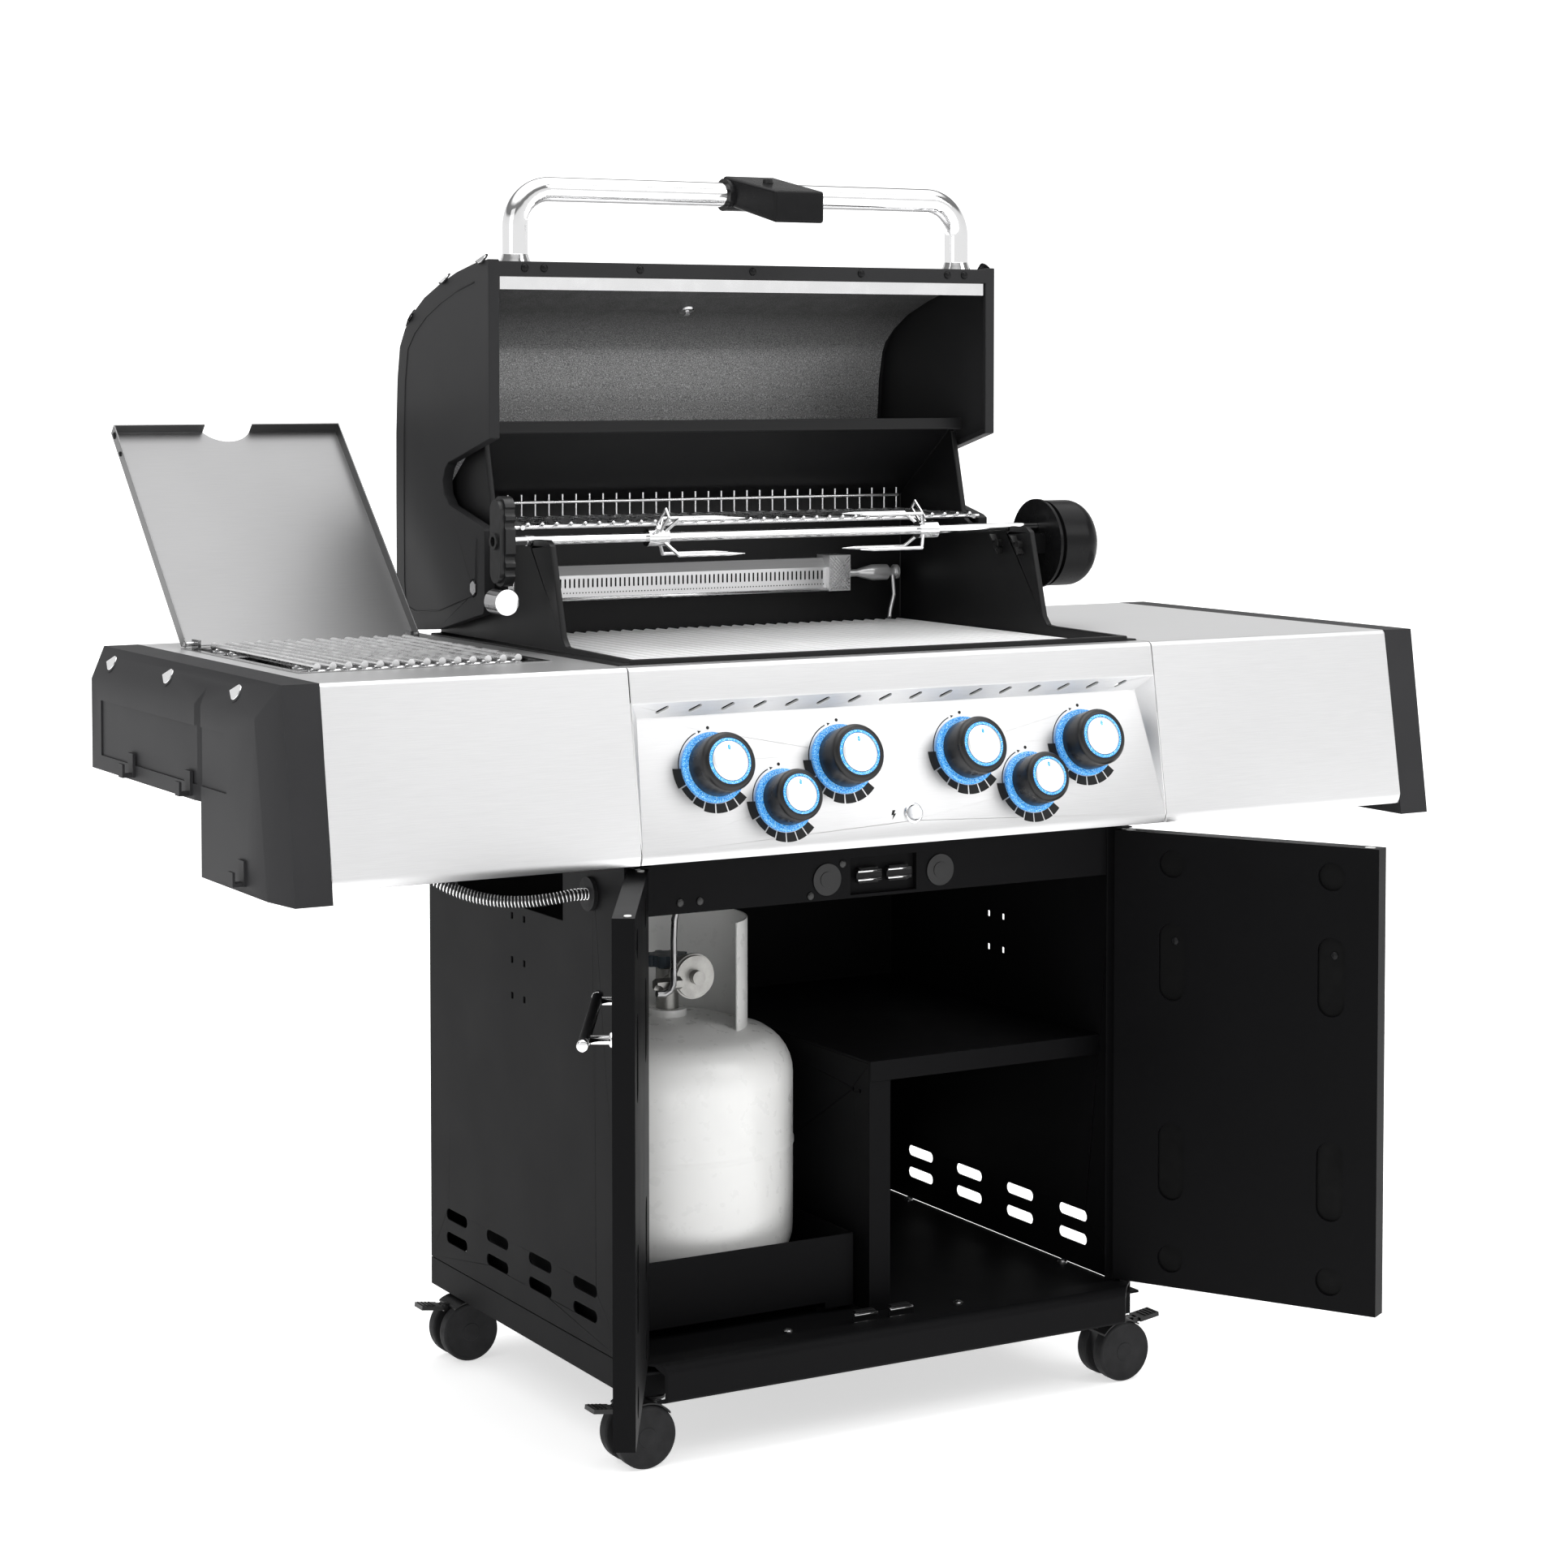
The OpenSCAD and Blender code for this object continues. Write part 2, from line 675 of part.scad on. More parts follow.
module end_cap(hooks) {
    lean = 35;
    difference() {
        translate([0, 0, deck_h]) {
            cap_block(cap_step, cabinet_back, cap_floor, 0, [0, 0]);
            cap_block(0, cap_step + 20, cap_foot, lean, [0, 0]);
        }
        // Hollow inside
        translate([0, 0, deck_h]) {
            box([shelf_end - 1, 12, cap_floor + 5], [cap_end - 22, cabinet_back - 5, -6]);
            box([shelf_end - 1, 2, cap_foot + 6], [cap_end - 22, cap_step + 12, -80]);
        }
        // Recessed field of the outer face
        box([cap_end - 2, 120, deck_h - 128], [cap_end + 1, cabinet_back - 40, deck_h - 62]);
        for (y = cap_bolts)
            translate([shelf_end + 45, y, deck_h - 20]) rotate([0, 60, 0]) cylinder(h = 30, r = 7);
    }
    if (hooks) for (at = [[70, cap_foot + 26], [236, cap_floor + 22], [430, cap_floor + 22]]) tool_hook(at);
}

module tool_hook(at) translate([cap_end - 1, at[0], deck_h + at[1]]) {
    box([0, -9, -14], [4, 9, 14]);
    box([3, -7, -14], [16, 7, -10]);
    box([13, -7, -14], [16, 7, 2]);
}

module end_caps() color("#4a4a4c") from_front() {
    mirror([1, 0, 0]) end_cap(true);
    end_cap(false);
}

// ---------------------------------------------------------------- side burner

module side_burner() color("#c9cacb") from_front() {
    depth = 34;
    difference() {
        box([pan_low[0] + 1, pan_low[1] + 1, deck_h - depth], [pan_high[0] - 1, pan_high[1] - 1, deck_h]);
        box([pan_low[0] + 3, pan_low[1] + 3, deck_h - depth + 2],
            [pan_high[0] - 3, pan_high[1] - 3, deck_h + 1]);
    }
    // Rim flange resting on the shelf, with ears for the lid pins
    difference() {
        box([pan_low[0] - 6, pan_low[1] - 6, deck_h], [pan_high[0] + 6, pan_high[1] + 12, deck_h + 1]);
        box([pan_low[0] + 3, pan_low[1] + 3, deck_h - 1], [pan_high[0] - 3, pan_high[1] - 3, deck_h + 2]);
    }
    for (side = [-1, 1])
        translate([burner_x + side * (side_lid_w / 2 - 14), side_hinge_y, deck_h]) difference() {
        box([-2, -14, 0.6], [2, 7, side_hinge_up + 5]);
        translate([-5, 0, side_hinge_up]) rotate([0, 90, 0]) cylinder(h = 10, r = 2.5 + run_fit);
    }
    // Burner head on its gas tube
    translate([burner_x, burner_y, deck_h - depth + 2]) {
        cylinder(h = 12, r = 24);
        translate([0, 0, 12]) cylinder(h = 7, r1 = 38, r2 = 36);
        translate([0, 0, -20]) cylinder(h = 18, r = 11);
    }
}

module side_burner_grate() color("#cfd0d0") from_front() {
    pitch = 19;
    first = burner_x - pitch * (side_rods - 1) / 2;
    last = burner_x + pitch * (side_rods - 1) / 2;
    for (x = [first : pitch : last + 1]) bar([x, 140, deck_h + 4], [x, 466, deck_h + 4], 4.5);
    for (y = [152, 200, 408, 454]) bar([first - 6, y, deck_h - 3], [last + 6, y, deck_h - 3], 3);
    // Feet down to the pan
    for (x = [first - 3, last + 3], y = [152, 454]) bar([x, y, deck_h - 3], [x, y, deck_h - 32], 3);
}

// Drawn closed, then turned back about its hinge
module side_burner_lid() color("#cdced0") from_front() {
    x0 = burner_x - side_lid_w / 2;
    x1 = burner_x + side_lid_w / 2;
    y0 = side_hinge_y - side_lid_len;
    top = deck_h + 17;
    translate([0, side_hinge_y, deck_h + side_hinge_up])
        rotate([-side_lid_open, 0, 0])
            translate([0, -side_hinge_y, -deck_h - side_hinge_up]) difference() {
                union() {
                    difference() {
                        box([x0, y0, deck_h + 1.5], [x1, side_hinge_y - 5, top]);
                        box([x0 + 1.5, y0 + 1.5, deck_h], [x1 - 1.5, side_hinge_y - 4, top - 1.5]);
                    }
                    // Side lugs round the hinge pins
                    for (x = [x0, x1 - 1.5]) {
                        translate([x, side_hinge_y, deck_h + side_hinge_up])
                            rotate([0, 90, 0]) cylinder(h = 1.5, r = 4.4);
                        box([x, side_hinge_y - 8, deck_h + 2],
                            [x + 1.5, side_hinge_y, deck_h + side_hinge_up + 4.4]);
                    }
                }
                // Finger notch in the free edge
                translate([burner_x, y0 - 20, deck_h]) cylinder(h = 30, r = 38);
                for (x = [x0 - 1, x1 - 3]) translate([x, side_hinge_y, deck_h + side_hinge_up])
                    rotate([0, 90, 0]) cylinder(h = 4, r = 2.5 + run_fit);
            }
}

module side_burner_hose() color("#b9babb") from_front() {
    hose(guard_route, 6.5, 10);
    // Rubber grommet in the side panel
    translate([-half_cabinet, 124, 648]) rotate([0, 90, 0]) difference() {
        union() {
            translate([0, 0, -5]) cylinder(h = 5, r = 20);
            cylinder(h = 6, r = 12.8);
        }
        translate([0, 0, -6]) cylinder(h = 14, r = 7.4);
    }
}

// ---------------------------------------------------------------- control panel

// Places children on the sloping face, s down from its upper edge, +Z outwards
module on_panel(x, s)
    translate([x, recess_y - s * cos(recess_lean), deck_h + recess_top - s * sin(recess_lean)])
        rotate([recess_lean, 0, 0]) children();

knob_x = [-3, -2, -1, 1, 2, 3] * knob_pitch;
function is_small(i) = i == 1 || i == 4;
function knob_row(i) = is_small(i) ? row_small : row_big;

// Slanted end wall of the recess: its inner top corner stands in from the panel's end
module recess_end() polyhedron(
    points = [
        [half_panel, band_foot_y, deck_h + band_foot],
        [half_panel, fascia_foot_y, deck_h + fascia_foot],
        [half_panel, recess_y + 1, deck_h + recess_top],
        [half_panel - recess_in, recess_y + 1, deck_h + recess_top]
    ],
    faces = [[2, 1, 0], [1, 3, 0], [2, 3, 1], [3, 2, 0]]
);

module control_panel() color("#dfe0e1") from_front() {
    slots = 16;
    slot_pitch = 42.3;
    slot_z = deck_h + (band_foot + recess_top) / 2;
    face = [
        [fascia_foot_y, fascia_foot], [fascia_foot_y + 3, fascia_low], [14, fascia_low],
        [14, fascia_low + 2], [fascia_foot_y + 5, fascia_low + 2], [fascia_foot_y + 2.4, fascia_foot + 1]
    ];
    difference() {
        union() {
            along_x(-half_panel, half_panel) translate([0, deck_h]) polygon(concat(
                [[26, 0]],
                arc([bend_r, -bend_r], bend_r, 90, 172, 4),
                [[band_foot_y, band_foot], [recess_y, recess_top]],
                face,
                [[recess_y + 2.8, recess_top + 1], [band_foot_y + 3, band_foot + 2]],
                arc([bend_r, -bend_r], bend_r - 2, 172, 90, 4),
                [[26, -2]]
            ));
            both_sides() recess_end();
        }
        // Slanted air slots in the step under the band
        for (i = [0 : slots - 1])
            translate([(i - (slots - 1) / 2) * slot_pitch, (band_foot_y + recess_y) / 2, slot_z])
                rotate([-44, 0, 0]) rotate([0, 0, -42]) translate([0, 0, -8])
                    linear_extrude(16) slot_2d(17, 6.4);
        for (i = [0 : 5]) on_panel(knob_x[i], knob_row(i)) translate([0, 0, -10]) cylinder(h = 20, r = 7);
        on_panel(0, row_igniter) translate([0, 0, -10]) cylinder(h = 20, r = 9);
    }
}

module knob_bezels() color("#2f8fe8") from_front() for (i = [0 : 5]) on_panel(knob_x[i], knob_row(i)) {
    r = is_small(i) ? 37 : 41;
    difference() {
        union() {
            cylinder(h = 4, r = r, $fn = 72);
            translate([0, 0, 4]) cylinder(h = 2, r1 = r, r2 = r - 2, $fn = 72);
        }
        translate([0, 0, -1]) cylinder(h = 10, r = 7);
    }
}

module knob(i) color("#2b2b2d") from_front() on_panel(knob_x[i], knob_row(i)) {
    k = is_small(i) ? 0.88 : 1;
    gap = 6.8;
    tall = 43;
    r = 34.5 * k;
    rotate_extrude($fn = 72) polygon(concat(
        [[0, gap], [r, gap], [r, gap + 3]],
        arc([r - 6.6, tall - 7], 6.5, 12, 90, 5),
        [[27 * k, tall - 0.5], [26 * k, tall - 2], [23.5 * k, tall - 2], [23 * k, tall], [0, tall + 0.6]]
    ));
    // Stem into the valve
    translate([0, 0, -17]) cylinder(h = 24, r = 4);
}

module knob_1() knob(0);
module knob_2() knob(1);
module knob_3() knob(2);
module knob_4() knob(3);
module knob_5() knob(4);
module knob_6() knob(5);

module igniter_button() color("#e8e8ea") from_front() on_panel(0, row_igniter) {
    translate([0, 0, -12]) cylinder(h = 19, r = 8.2);
    translate([0, 0, 7]) cylinder(h = 1.5, r1 = 8.2, r2 = 6.8);
}

// ---------------------------------------------------------------- cook box

notch_r = 7;

module firebox() color("#18181a") from_front() translate([0, 0, deck_h]) difference() {
    union() {
        along_x(-box_x, box_x) polygon([
            [28, 6], [28, -18], [66, -52], [72, -150], [549, -150], [549, 166], [545, 171],
            [412, 270], [404, 271], [404, 256], [419, 253], [393, 150], [386, 137], [376, 132], [242, 132],
            [232, 126], [202, 20], [192, 9], [180, 8]
        ]);
        // Ledges beside the walls, down to the shelves
        both_sides() box([box_x - 1, 28, -6], [half_panel - 1, 549, 2]);
        // Rails of the grease tray
        both_sides() {
            box([152, 180, -190], [160, 549, -148]);
            box([128, 180, -190], [160, 549, -187]);
        }
    }
    along_x(wall - box_x, box_x - wall) polygon([
        [34, 300], [34, -16], [72, -49], [78, -144], [545, -144], [545, 166],
        [410, 266], [408, 266], [408, 250], [380, 250], [380, 300]
    ]);
    // Grease outlet
    box([-60, 220, -160], [60, 400, -140]);
    // Spit rests
    along_x(-box_x - 1, box_x + 1) {
        translate([spit_y, spit_up]) circle(r = notch_r);
        translate([spit_y - notch_r, spit_up]) square([2 * notch_r, 20]);
    }
}

module rear_burner() color("#c4c5c4") from_front() translate([0, 0, deck_h]) {
    along_x(-250, 205) polygon([[520, 42], [545, 42], [545, 82], [530, 82], [520, 70]]);
    box([205, 512, 38], [238, 545, 86]);
    bar([238, 530, 60], [258, 530, 60], 5);
    bar([258, 530, 60], [282, 530, 60], 5, 11);
    bar([282, 530, 60], [305, 530, 60], 11);
    bar([305, 530, 60], [324, 530, 60], 6);
    bar([318, 530, 60], [322, 530, 60], 10);
    wire([[312, 524, 56], [312, 520, 30], [302, 513, 10], [298, 509, 0]], 2.5);
}

rack_rods = 34;
rack_pitch = 19.4;
rack_up = 146;

module warming_rack() color("#d6d7d8") from_front() translate([0, 0, deck_h]) {
    first = -rack_pitch * (rack_rods - 1) / 2;
    for (i = [0 : rack_rods - 1]) {
        x = first + i * rack_pitch;
        bar([x, 346, rack_up], [x, 530, rack_up], 1.7);
        bar([x, 528, rack_up - 0.8], [x, 528, rack_up + 29], 1.3);
        translate([x, 346, rack_up]) sphere(r = 2.9);
    }
    for (y = [352, 440]) bar([wall - box_x, y, rack_up - 3.6], [box_x - wall, y, rack_up - 3.6], 2.5);
    bar([first - 2, 526.4, rack_up + 19], [2 - first, 526.4, rack_up + 19], 2);
    both_sides() bar([7 - first, 346, rack_up - 3.6], [7 - first, 530, rack_up - 3.6], 3);
}

module half_grate(x0, x1) {
    r = grate_rod / 2;
    top = -4;
    pitch = (x1 - x0 - grate_rod) / (grate_rods - 1);
    for (x = [x0 + r : pitch : x1 - r + 1]) bar([x, 40, top - r], [x, 540, top - r], r);
    for (y = [70, 290, 510]) bar([x0, y, top - grate_rod - 2], [x1, y, top - grate_rod - 2], 3.5);
}

module cooking_grates() color("#bfc0c1") from_front() translate([0, 0, deck_h]) {
    half_grate(-334, -2);
    half_grate(2, 334);
}

module main_burners() color("#b8b4ab") from_front() translate([0, 0, deck_h]) {
    for (x = [-3, -1, 1, 3] * knob_pitch) {
        bar([x, 84, -96], [x, 520, -96], 16);
        // Heat spreader, an inverted V over each burner
        along_y(90, 530) polygon([
            [x, -34], [x + 58, -66], [x + 58, -76], [x + 56.5, -76], [x + 56.5, -67],
            [x, -36], [x - 56.5, -67], [x - 56.5, -76], [x - 58, -76], [x - 58, -66]
        ]);
    }
}

module gas_manifold() color("#9d9a90") from_front() {
    pipe = [56, deck_h - 162];
    bar([-300, pipe[0], pipe[1]], [300, pipe[0], pipe[1]], 9);
    for (i = [0 : 5]) {
        on_panel(knob_x[i], knob_row(i)) difference() {
            translate([0, 0, -52]) cylinder(h = 44, r = 10);
            translate([0, 0, -18]) cylinder(h = 20, r = 4 + run_fit);
        }
        end = [
            recess_y - knob_row(i) * cos(recess_lean) + 46 * sin(recess_lean),
            deck_h + recess_top - knob_row(i) * sin(recess_lean) - 46 * cos(recess_lean)
        ];
        bar([knob_x[i], end[0], end[1]], [knob_x[i], pipe[0], pipe[1]], 7);
    }
}

module grease_tray() color("#a9abac") from_front() translate([0, 0, deck_h]) difference() {
    box([-138, 190, -186.5], [138, 596, -164]);
    box([-136, 192, -184.5], [136, 588, -163]);
}

// ---------------------------------------------------------------- rotisserie

module spit_motor() color("#161617") from_front() translate([0, 0, deck_h]) difference() {
    union() {
        // Bracket from the wall to the mounting plate
        box([box_x, 262, 96], [box_x + 3, 304, 124]);
        box([box_x, 264, 96], [386, 268, 122]);
        box([box_x, 300, 96], [386, 304, 122]);
        translate([384, spit_y, 108]) rotate([0, 90, 0]) cylinder(h = 4, r = 58, $fn = 72);
        // Motor housing
        translate([388, spit_y, 108]) rotate([0, 90, 0]) cylinder(h = 7, r = 50, $fn = 72);
        translate([395, spit_y, 108]) rotate([0, 90, 0]) rotate_extrude($fn = 72) polygon(concat(
            [[0, 0], [56, 0], [56, 30]],
            arc([30, 34], 26, 0, 90, 8),
            [[0, 60]]
        ));
    }
    translate([380, spit_y, spit_up]) rotate([0, 90, 0]) cylinder(h = 34, r = spit_r + 0.5);
}

module spit_rod() color("#dcdddd") from_front() translate([0, 0, deck_h]) {
    bar([-383, spit_y, spit_up], [408, spit_y, spit_up], spit_r);
    bar([-352, spit_y, spit_up], [-343, spit_y, spit_up], 6.4);
    // Counterweight on its strap, turning with the spit
    difference() {
        box([-372.5, spit_y - 7, 60], [-370.5, spit_y + 7, spit_up + 38]);
        translate([-374, spit_y, spit_up + 30]) rotate([0, 90, 0]) cylinder(h = 5, r = 3);
    }
    bar([-385.5, spit_y - 18, 58], [-385.5, spit_y + 14, 58], 15.5);
}

module spit_grip() color("#202022") from_front()
    translate([0, spit_y, deck_h + spit_up]) rotate([0, -90, 0]) {
    half = grip_w / 2;
    difference() {
        union() {
            translate([0, 0, grip_x]) linear_extrude(13) slot_2d(grip_len, grip_w);
            translate([0, 0, grip_x + 13]) linear_extrude(6) slot_2d(grip_len - 8, grip_w - 8);
            translate([0, 0, grip_x + 19]) cylinder(h = 3, r = 10);
        }
        // Finger grooves along both edges
        for (x = [-36, -20, 20, 36], side = [-1, 1])
            translate([x, side * (half + 4), grip_x - 1]) cylinder(h = 30, r = 7);
        translate([0, 0, grip_x + 17]) cylinder(h = 10, r = 6);
        translate([0, 0, grip_x - 1]) cylinder(h = 10.1, r = spit_r + run_fit);
    }
}

// A spit fork pointing to +X from its hub
module fork() {
    reach = 31;
    difference() {
        translate([-14, 0, 0]) rotate([0, 90, 0]) cylinder(h = 28, r = 11);
        translate([-15, 0, 0]) rotate([0, 90, 0]) cylinder(h = 30, r = spit_r + run_fit);
    }
    for (a = [45 : 90 : 315]) {
        c = cos(a);
        s = sin(a);
        wire([[8, 9 * c, 9 * s], [20, reach * c, reach * s], [92, reach * c, reach * s]], 2.3);
        bar([92, reach * c, reach * s], [112, reach * c, reach * s], 2.3, 0.4);
    }
    // Thumb screw with its wire loop
    translate([-4, 0, 0]) rotate([50, 0, 0]) {
        bar([0, 0, 9], [0, 0, 20], 3.5);
        wire([[0, -6, 20], [0, 6, 20], [0, 6, 48], [0, -6, 48], [0, -6, 20]], 1.9);
    }
}

module spit_forks() color("#dfe0e0") from_front() translate([0, spit_y, deck_h + spit_up]) {
    translate([-176, 0, 0]) fork();
    translate([214, 0, 0]) rotate([0, 0, 180]) fork();
}

// ---------------------------------------------------------------- hood

// The hood is drawn closed and turned back about its pivot; values are from the deck
module hood() from_front() translate([0, pivot_y, deck_h + pivot_up]) rotate([-hood_open, 0, 0])
    translate([0, -pivot_y, -pivot_up]) children();

hood_front = [[9, 22], [13, 60], [22, 110], [35, 160], [52, 210], [72, 248], [90, 270]];
hood_roof = [[110, 286], [150, 294], [220, 299], [300, 300], [410, 300], [444, 298]];
hood_back = [[457, 292], [463, 280], [466, 240]];
hood_line = concat(hood_front, hood_roof, hood_back);
liner_line = concat([[21, 36]], shifted([for (i = [1 : 6]) hood_front[i]], [10, -3]), [
    [114, 275], [152, 284], [220, 289], [300, 290], [408, 290], [440, 288], [451, 282], [454, 270], [456, 240]
]);
skin = 1.5;

function shifted(points, d) = [for (p = points) p + d];

// The same line moved inwards by t, from its last point back to its first
function inner_line(points, t) =
    [for (i = [len(points) - 1 : -1 : 0])
        let (d = unit(points[min(i + 1, len(points) - 1)] - points[max(i - 1, 0)]))
        points[i] + t * [d[1], -d[0]]];

module lid_shell() color("#c9cacc") hood() difference() {
    along_x(-352, 352) polygon(concat(hood_line, inner_line(hood_line, skin)));
    gauge_axis() cylinder(h = 60, r = 14, center = true);
}

module lid_liner() color("#7c7d7f") hood() difference() {
    along_x(-350, 350) polygon(concat(liner_line, inner_line(liner_line, skin)));
    gauge_axis() cylinder(h = 80, r = 10, center = true);
}

cap_notch = [[330, 42], [307, 139], [293, 154], [276, 157], [262, 150], [254, 141], [222, 18]];

module lid_frame() color("#2a2a2c") hood() {
    outline = concat(
        [[5, 18]], shifted(hood_front, [-4, 2]), shifted(hood_roof, [0, 4]),
        [[460, 297], [467, 284], [469, 240], [464, 172], [436, 38], [420, 34], [334, 34]], cap_notch
    );
    both_sides() difference() {
        along_x(352, hood_x) polygon(outline);
        along_x(351, hood_x - 6) offset(delta = -7) polygon(outline);
        translate([350, pivot_y, pivot_up]) rotate([0, 90, 0]) cylinder(h = 20, r = pivot_r + run_fit);
        translate([hood_x - 3, pivot_y, pivot_up]) rotate([0, 90, 0]) cylinder(h = 10, r = 11);
    }
    // Boss round each pivot bolt
    both_sides() translate([352, pivot_y, pivot_up]) rotate([0, 90, 0]) difference() {
        cylinder(h = hood_x - 352 - 3, r = 15);
        translate([0, 0, -1]) cylinder(h = 20, r = pivot_r + run_fit);
    }
    // Front rail along the lower edge
    box([-352, 7, 18], [352, 25, 21.5]);
    box([-352, 21, 18], [352, 25, 34]);
}

handle_reach = -82;
handle_up = 41;
handle_x = 320;
handle_bend = 46;

module lid_handle() color("#e2e3e4") hood() difference() {
    handle_bar();
    along_x(-352, 352) polygon(concat([[9, 12], [6.9, 12], [6.9, 21.6]], hood_line));
}

module handle_bar() {
    r = handle_d / 2;
    both_sides() {
        translate([handle_x, 20, handle_up])
            rotate([90, 0, 0]) cylinder(h = 20 - handle_reach - handle_bend, r = r);
        translate([handle_x - handle_bend, handle_reach + handle_bend, handle_up]) rotate([0, 0, -90])
            rotate_extrude(angle = 90) translate([handle_bend, 0]) circle(r = r);
        translate([handle_x, 14, handle_up]) rotate([90, 0, 0]) cylinder(h = 16, r1 = r + 6, r2 = r + 0.5);
    }
    straight = handle_x - handle_bend;
    bar([-straight, handle_reach, handle_up], [straight, handle_reach, handle_up], r);
}

module handle_light() color("#1f1f21") hood() translate([4, handle_reach, handle_up]) difference() {
    r = handle_d / 2;
    union() {
        translate([-34, 0, 0]) rotate([0, 90, 0]) cylinder(h = 62, r = r + 5);
        // Lamp head, reaching down in front of the handle when the hood is closed
        hull() {
            for (x = [-29, 38], y = [-r - 4, 8]) translate([x, y, 0]) sphere(r = 4, $fn = 16);
            for (x = [-4, 60], y = [1, 33]) translate([x, y, -lamp_reach]) sphere(r = 4, $fn = 16);
        }
    }
    translate([-40, 0, 0]) rotate([0, 90, 0]) cylinder(h = 120, r = r + run_fit);
    // Well of the button
    translate([lamp_button_x, -r - 12, -lamp_button_in]) rotate([-90, 0, 0]) cylinder(h = 16, r = 7);
}

lamp_reach = 82;
lamp_button_x = 12;
lamp_button_in = 34;

module light_button() color("#3a3a3d") hood()
    translate([4 + lamp_button_x, handle_reach - 19, handle_up - lamp_button_in])
        rotate([-90, 0, 0]) cylinder(h = 5, r = 6.4);

module gauge_axis() translate([0, 44, 200]) rotate([72, 0, 0]) children();

module thermometer() color("#d0d1d2") hood() gauge_axis() {
    cylinder(h = 9, r = 36);
    translate([0, 0, 9]) cylinder(h = 3, r1 = 36, r2 = 33);
    translate([0, 0, -24]) cylinder(h = 25, r = 4);
    translate([0, 0, -3]) cylinder(h = 4, r = 9);
}

// ---------------------------------------------------------------- nodes

base_tray();
cabinet_panels();
front_valance();
door_catches();
cabinet_divider();
cabinet_shelf();
tank_tray();
gas_tank();
regulator();
valve_wheel();
supply_hose();
hinge_pins();
fasteners();
caster_fl_housing();
caster_fl_wheels();
caster_fl_lever();
caster_fr_housing();
caster_fr_wheels();
caster_fr_lever();
caster_rl_housing();
caster_rl_wheels();
caster_rl_lever();
caster_rr_housing();
caster_rr_wheels();
caster_rr_lever();
left_door();
right_door();
side_shelves();
end_caps();
side_burner();
side_burner_grate();
side_burner_lid();
side_burner_hose();
control_panel();
knob_bezels();
knob_1();
knob_2();
knob_3();
knob_4();
knob_5();
knob_6();
igniter_button();
firebox();
rear_burner();
warming_rack();
cooking_grates();
main_burners();
gas_manifold();
grease_tray();
spit_motor();
spit_rod();
spit_grip();
spit_forks();
lid_shell();
lid_liner();
lid_frame();
lid_handle();
handle_light();
light_button();
thermometer();
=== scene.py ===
"""Gas barbecue grill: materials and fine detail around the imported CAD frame. Metres, Z up."""
import math

import bmesh
import bpy
from mathutils import Matrix, Vector


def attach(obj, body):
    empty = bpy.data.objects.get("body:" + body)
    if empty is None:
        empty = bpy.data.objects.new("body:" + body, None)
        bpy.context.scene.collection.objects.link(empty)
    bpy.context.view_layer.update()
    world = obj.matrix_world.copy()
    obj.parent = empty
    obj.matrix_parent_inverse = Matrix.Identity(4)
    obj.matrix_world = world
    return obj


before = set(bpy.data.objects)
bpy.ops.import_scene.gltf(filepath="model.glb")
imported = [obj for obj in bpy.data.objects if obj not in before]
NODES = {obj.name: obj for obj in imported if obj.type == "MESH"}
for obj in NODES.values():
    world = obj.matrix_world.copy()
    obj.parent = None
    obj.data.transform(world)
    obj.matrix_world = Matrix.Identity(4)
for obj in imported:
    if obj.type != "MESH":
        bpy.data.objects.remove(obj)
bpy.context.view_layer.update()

# ------------------------------------------------------------------ the frame's driving values
MM = 0.001
# The front face of the cart, and the height of the work surface
FRONT_Y = -276 * MM
DECK = 921 * MM
# The doors' hinge lines
HINGE_Y = 24 * MM + FRONT_Y
HINGE_X = 338 * MM
# The hood's and the side burner lid's hinge lines
PIVOT = Vector((0, 406 * MM + FRONT_Y, DECK + 67 * MM))
SIDE_LID_HINGE = Vector((-555 * MM, 490 * MM + FRONT_Y, DECK + 6 * MM))
# The sloping face that the knobs stand on, and the top of the slotted band over it
PANEL_TOP = Vector((0, 12 * MM + FRONT_Y, DECK - 59 * MM))
PANEL_FOOT = Vector((0, -33 * MM + FRONT_Y, DECK - 208 * MM))
PANEL_LEAN = math.atan2(PANEL_TOP.z - PANEL_FOOT.z, PANEL_TOP.y - PANEL_FOOT.y)
BAND_TOP = DECK - 41 * MM
# Knob places: steps across, rows down the panel from its top
KNOB_PITCH = 85.5 * MM
KNOB_STEPS = (-3, -2, -1, 1, 2, 3)
SMALL_KNOBS = (1, 4)
ROW_BIG = 62 * MM
ROW_SMALL = 105.3 * MM
ROW_IGNITER = 131.4 * MM
PIECES = bpy.data.collections.new("pieces")
bpy.context.scene.collection.children.link(PIECES)


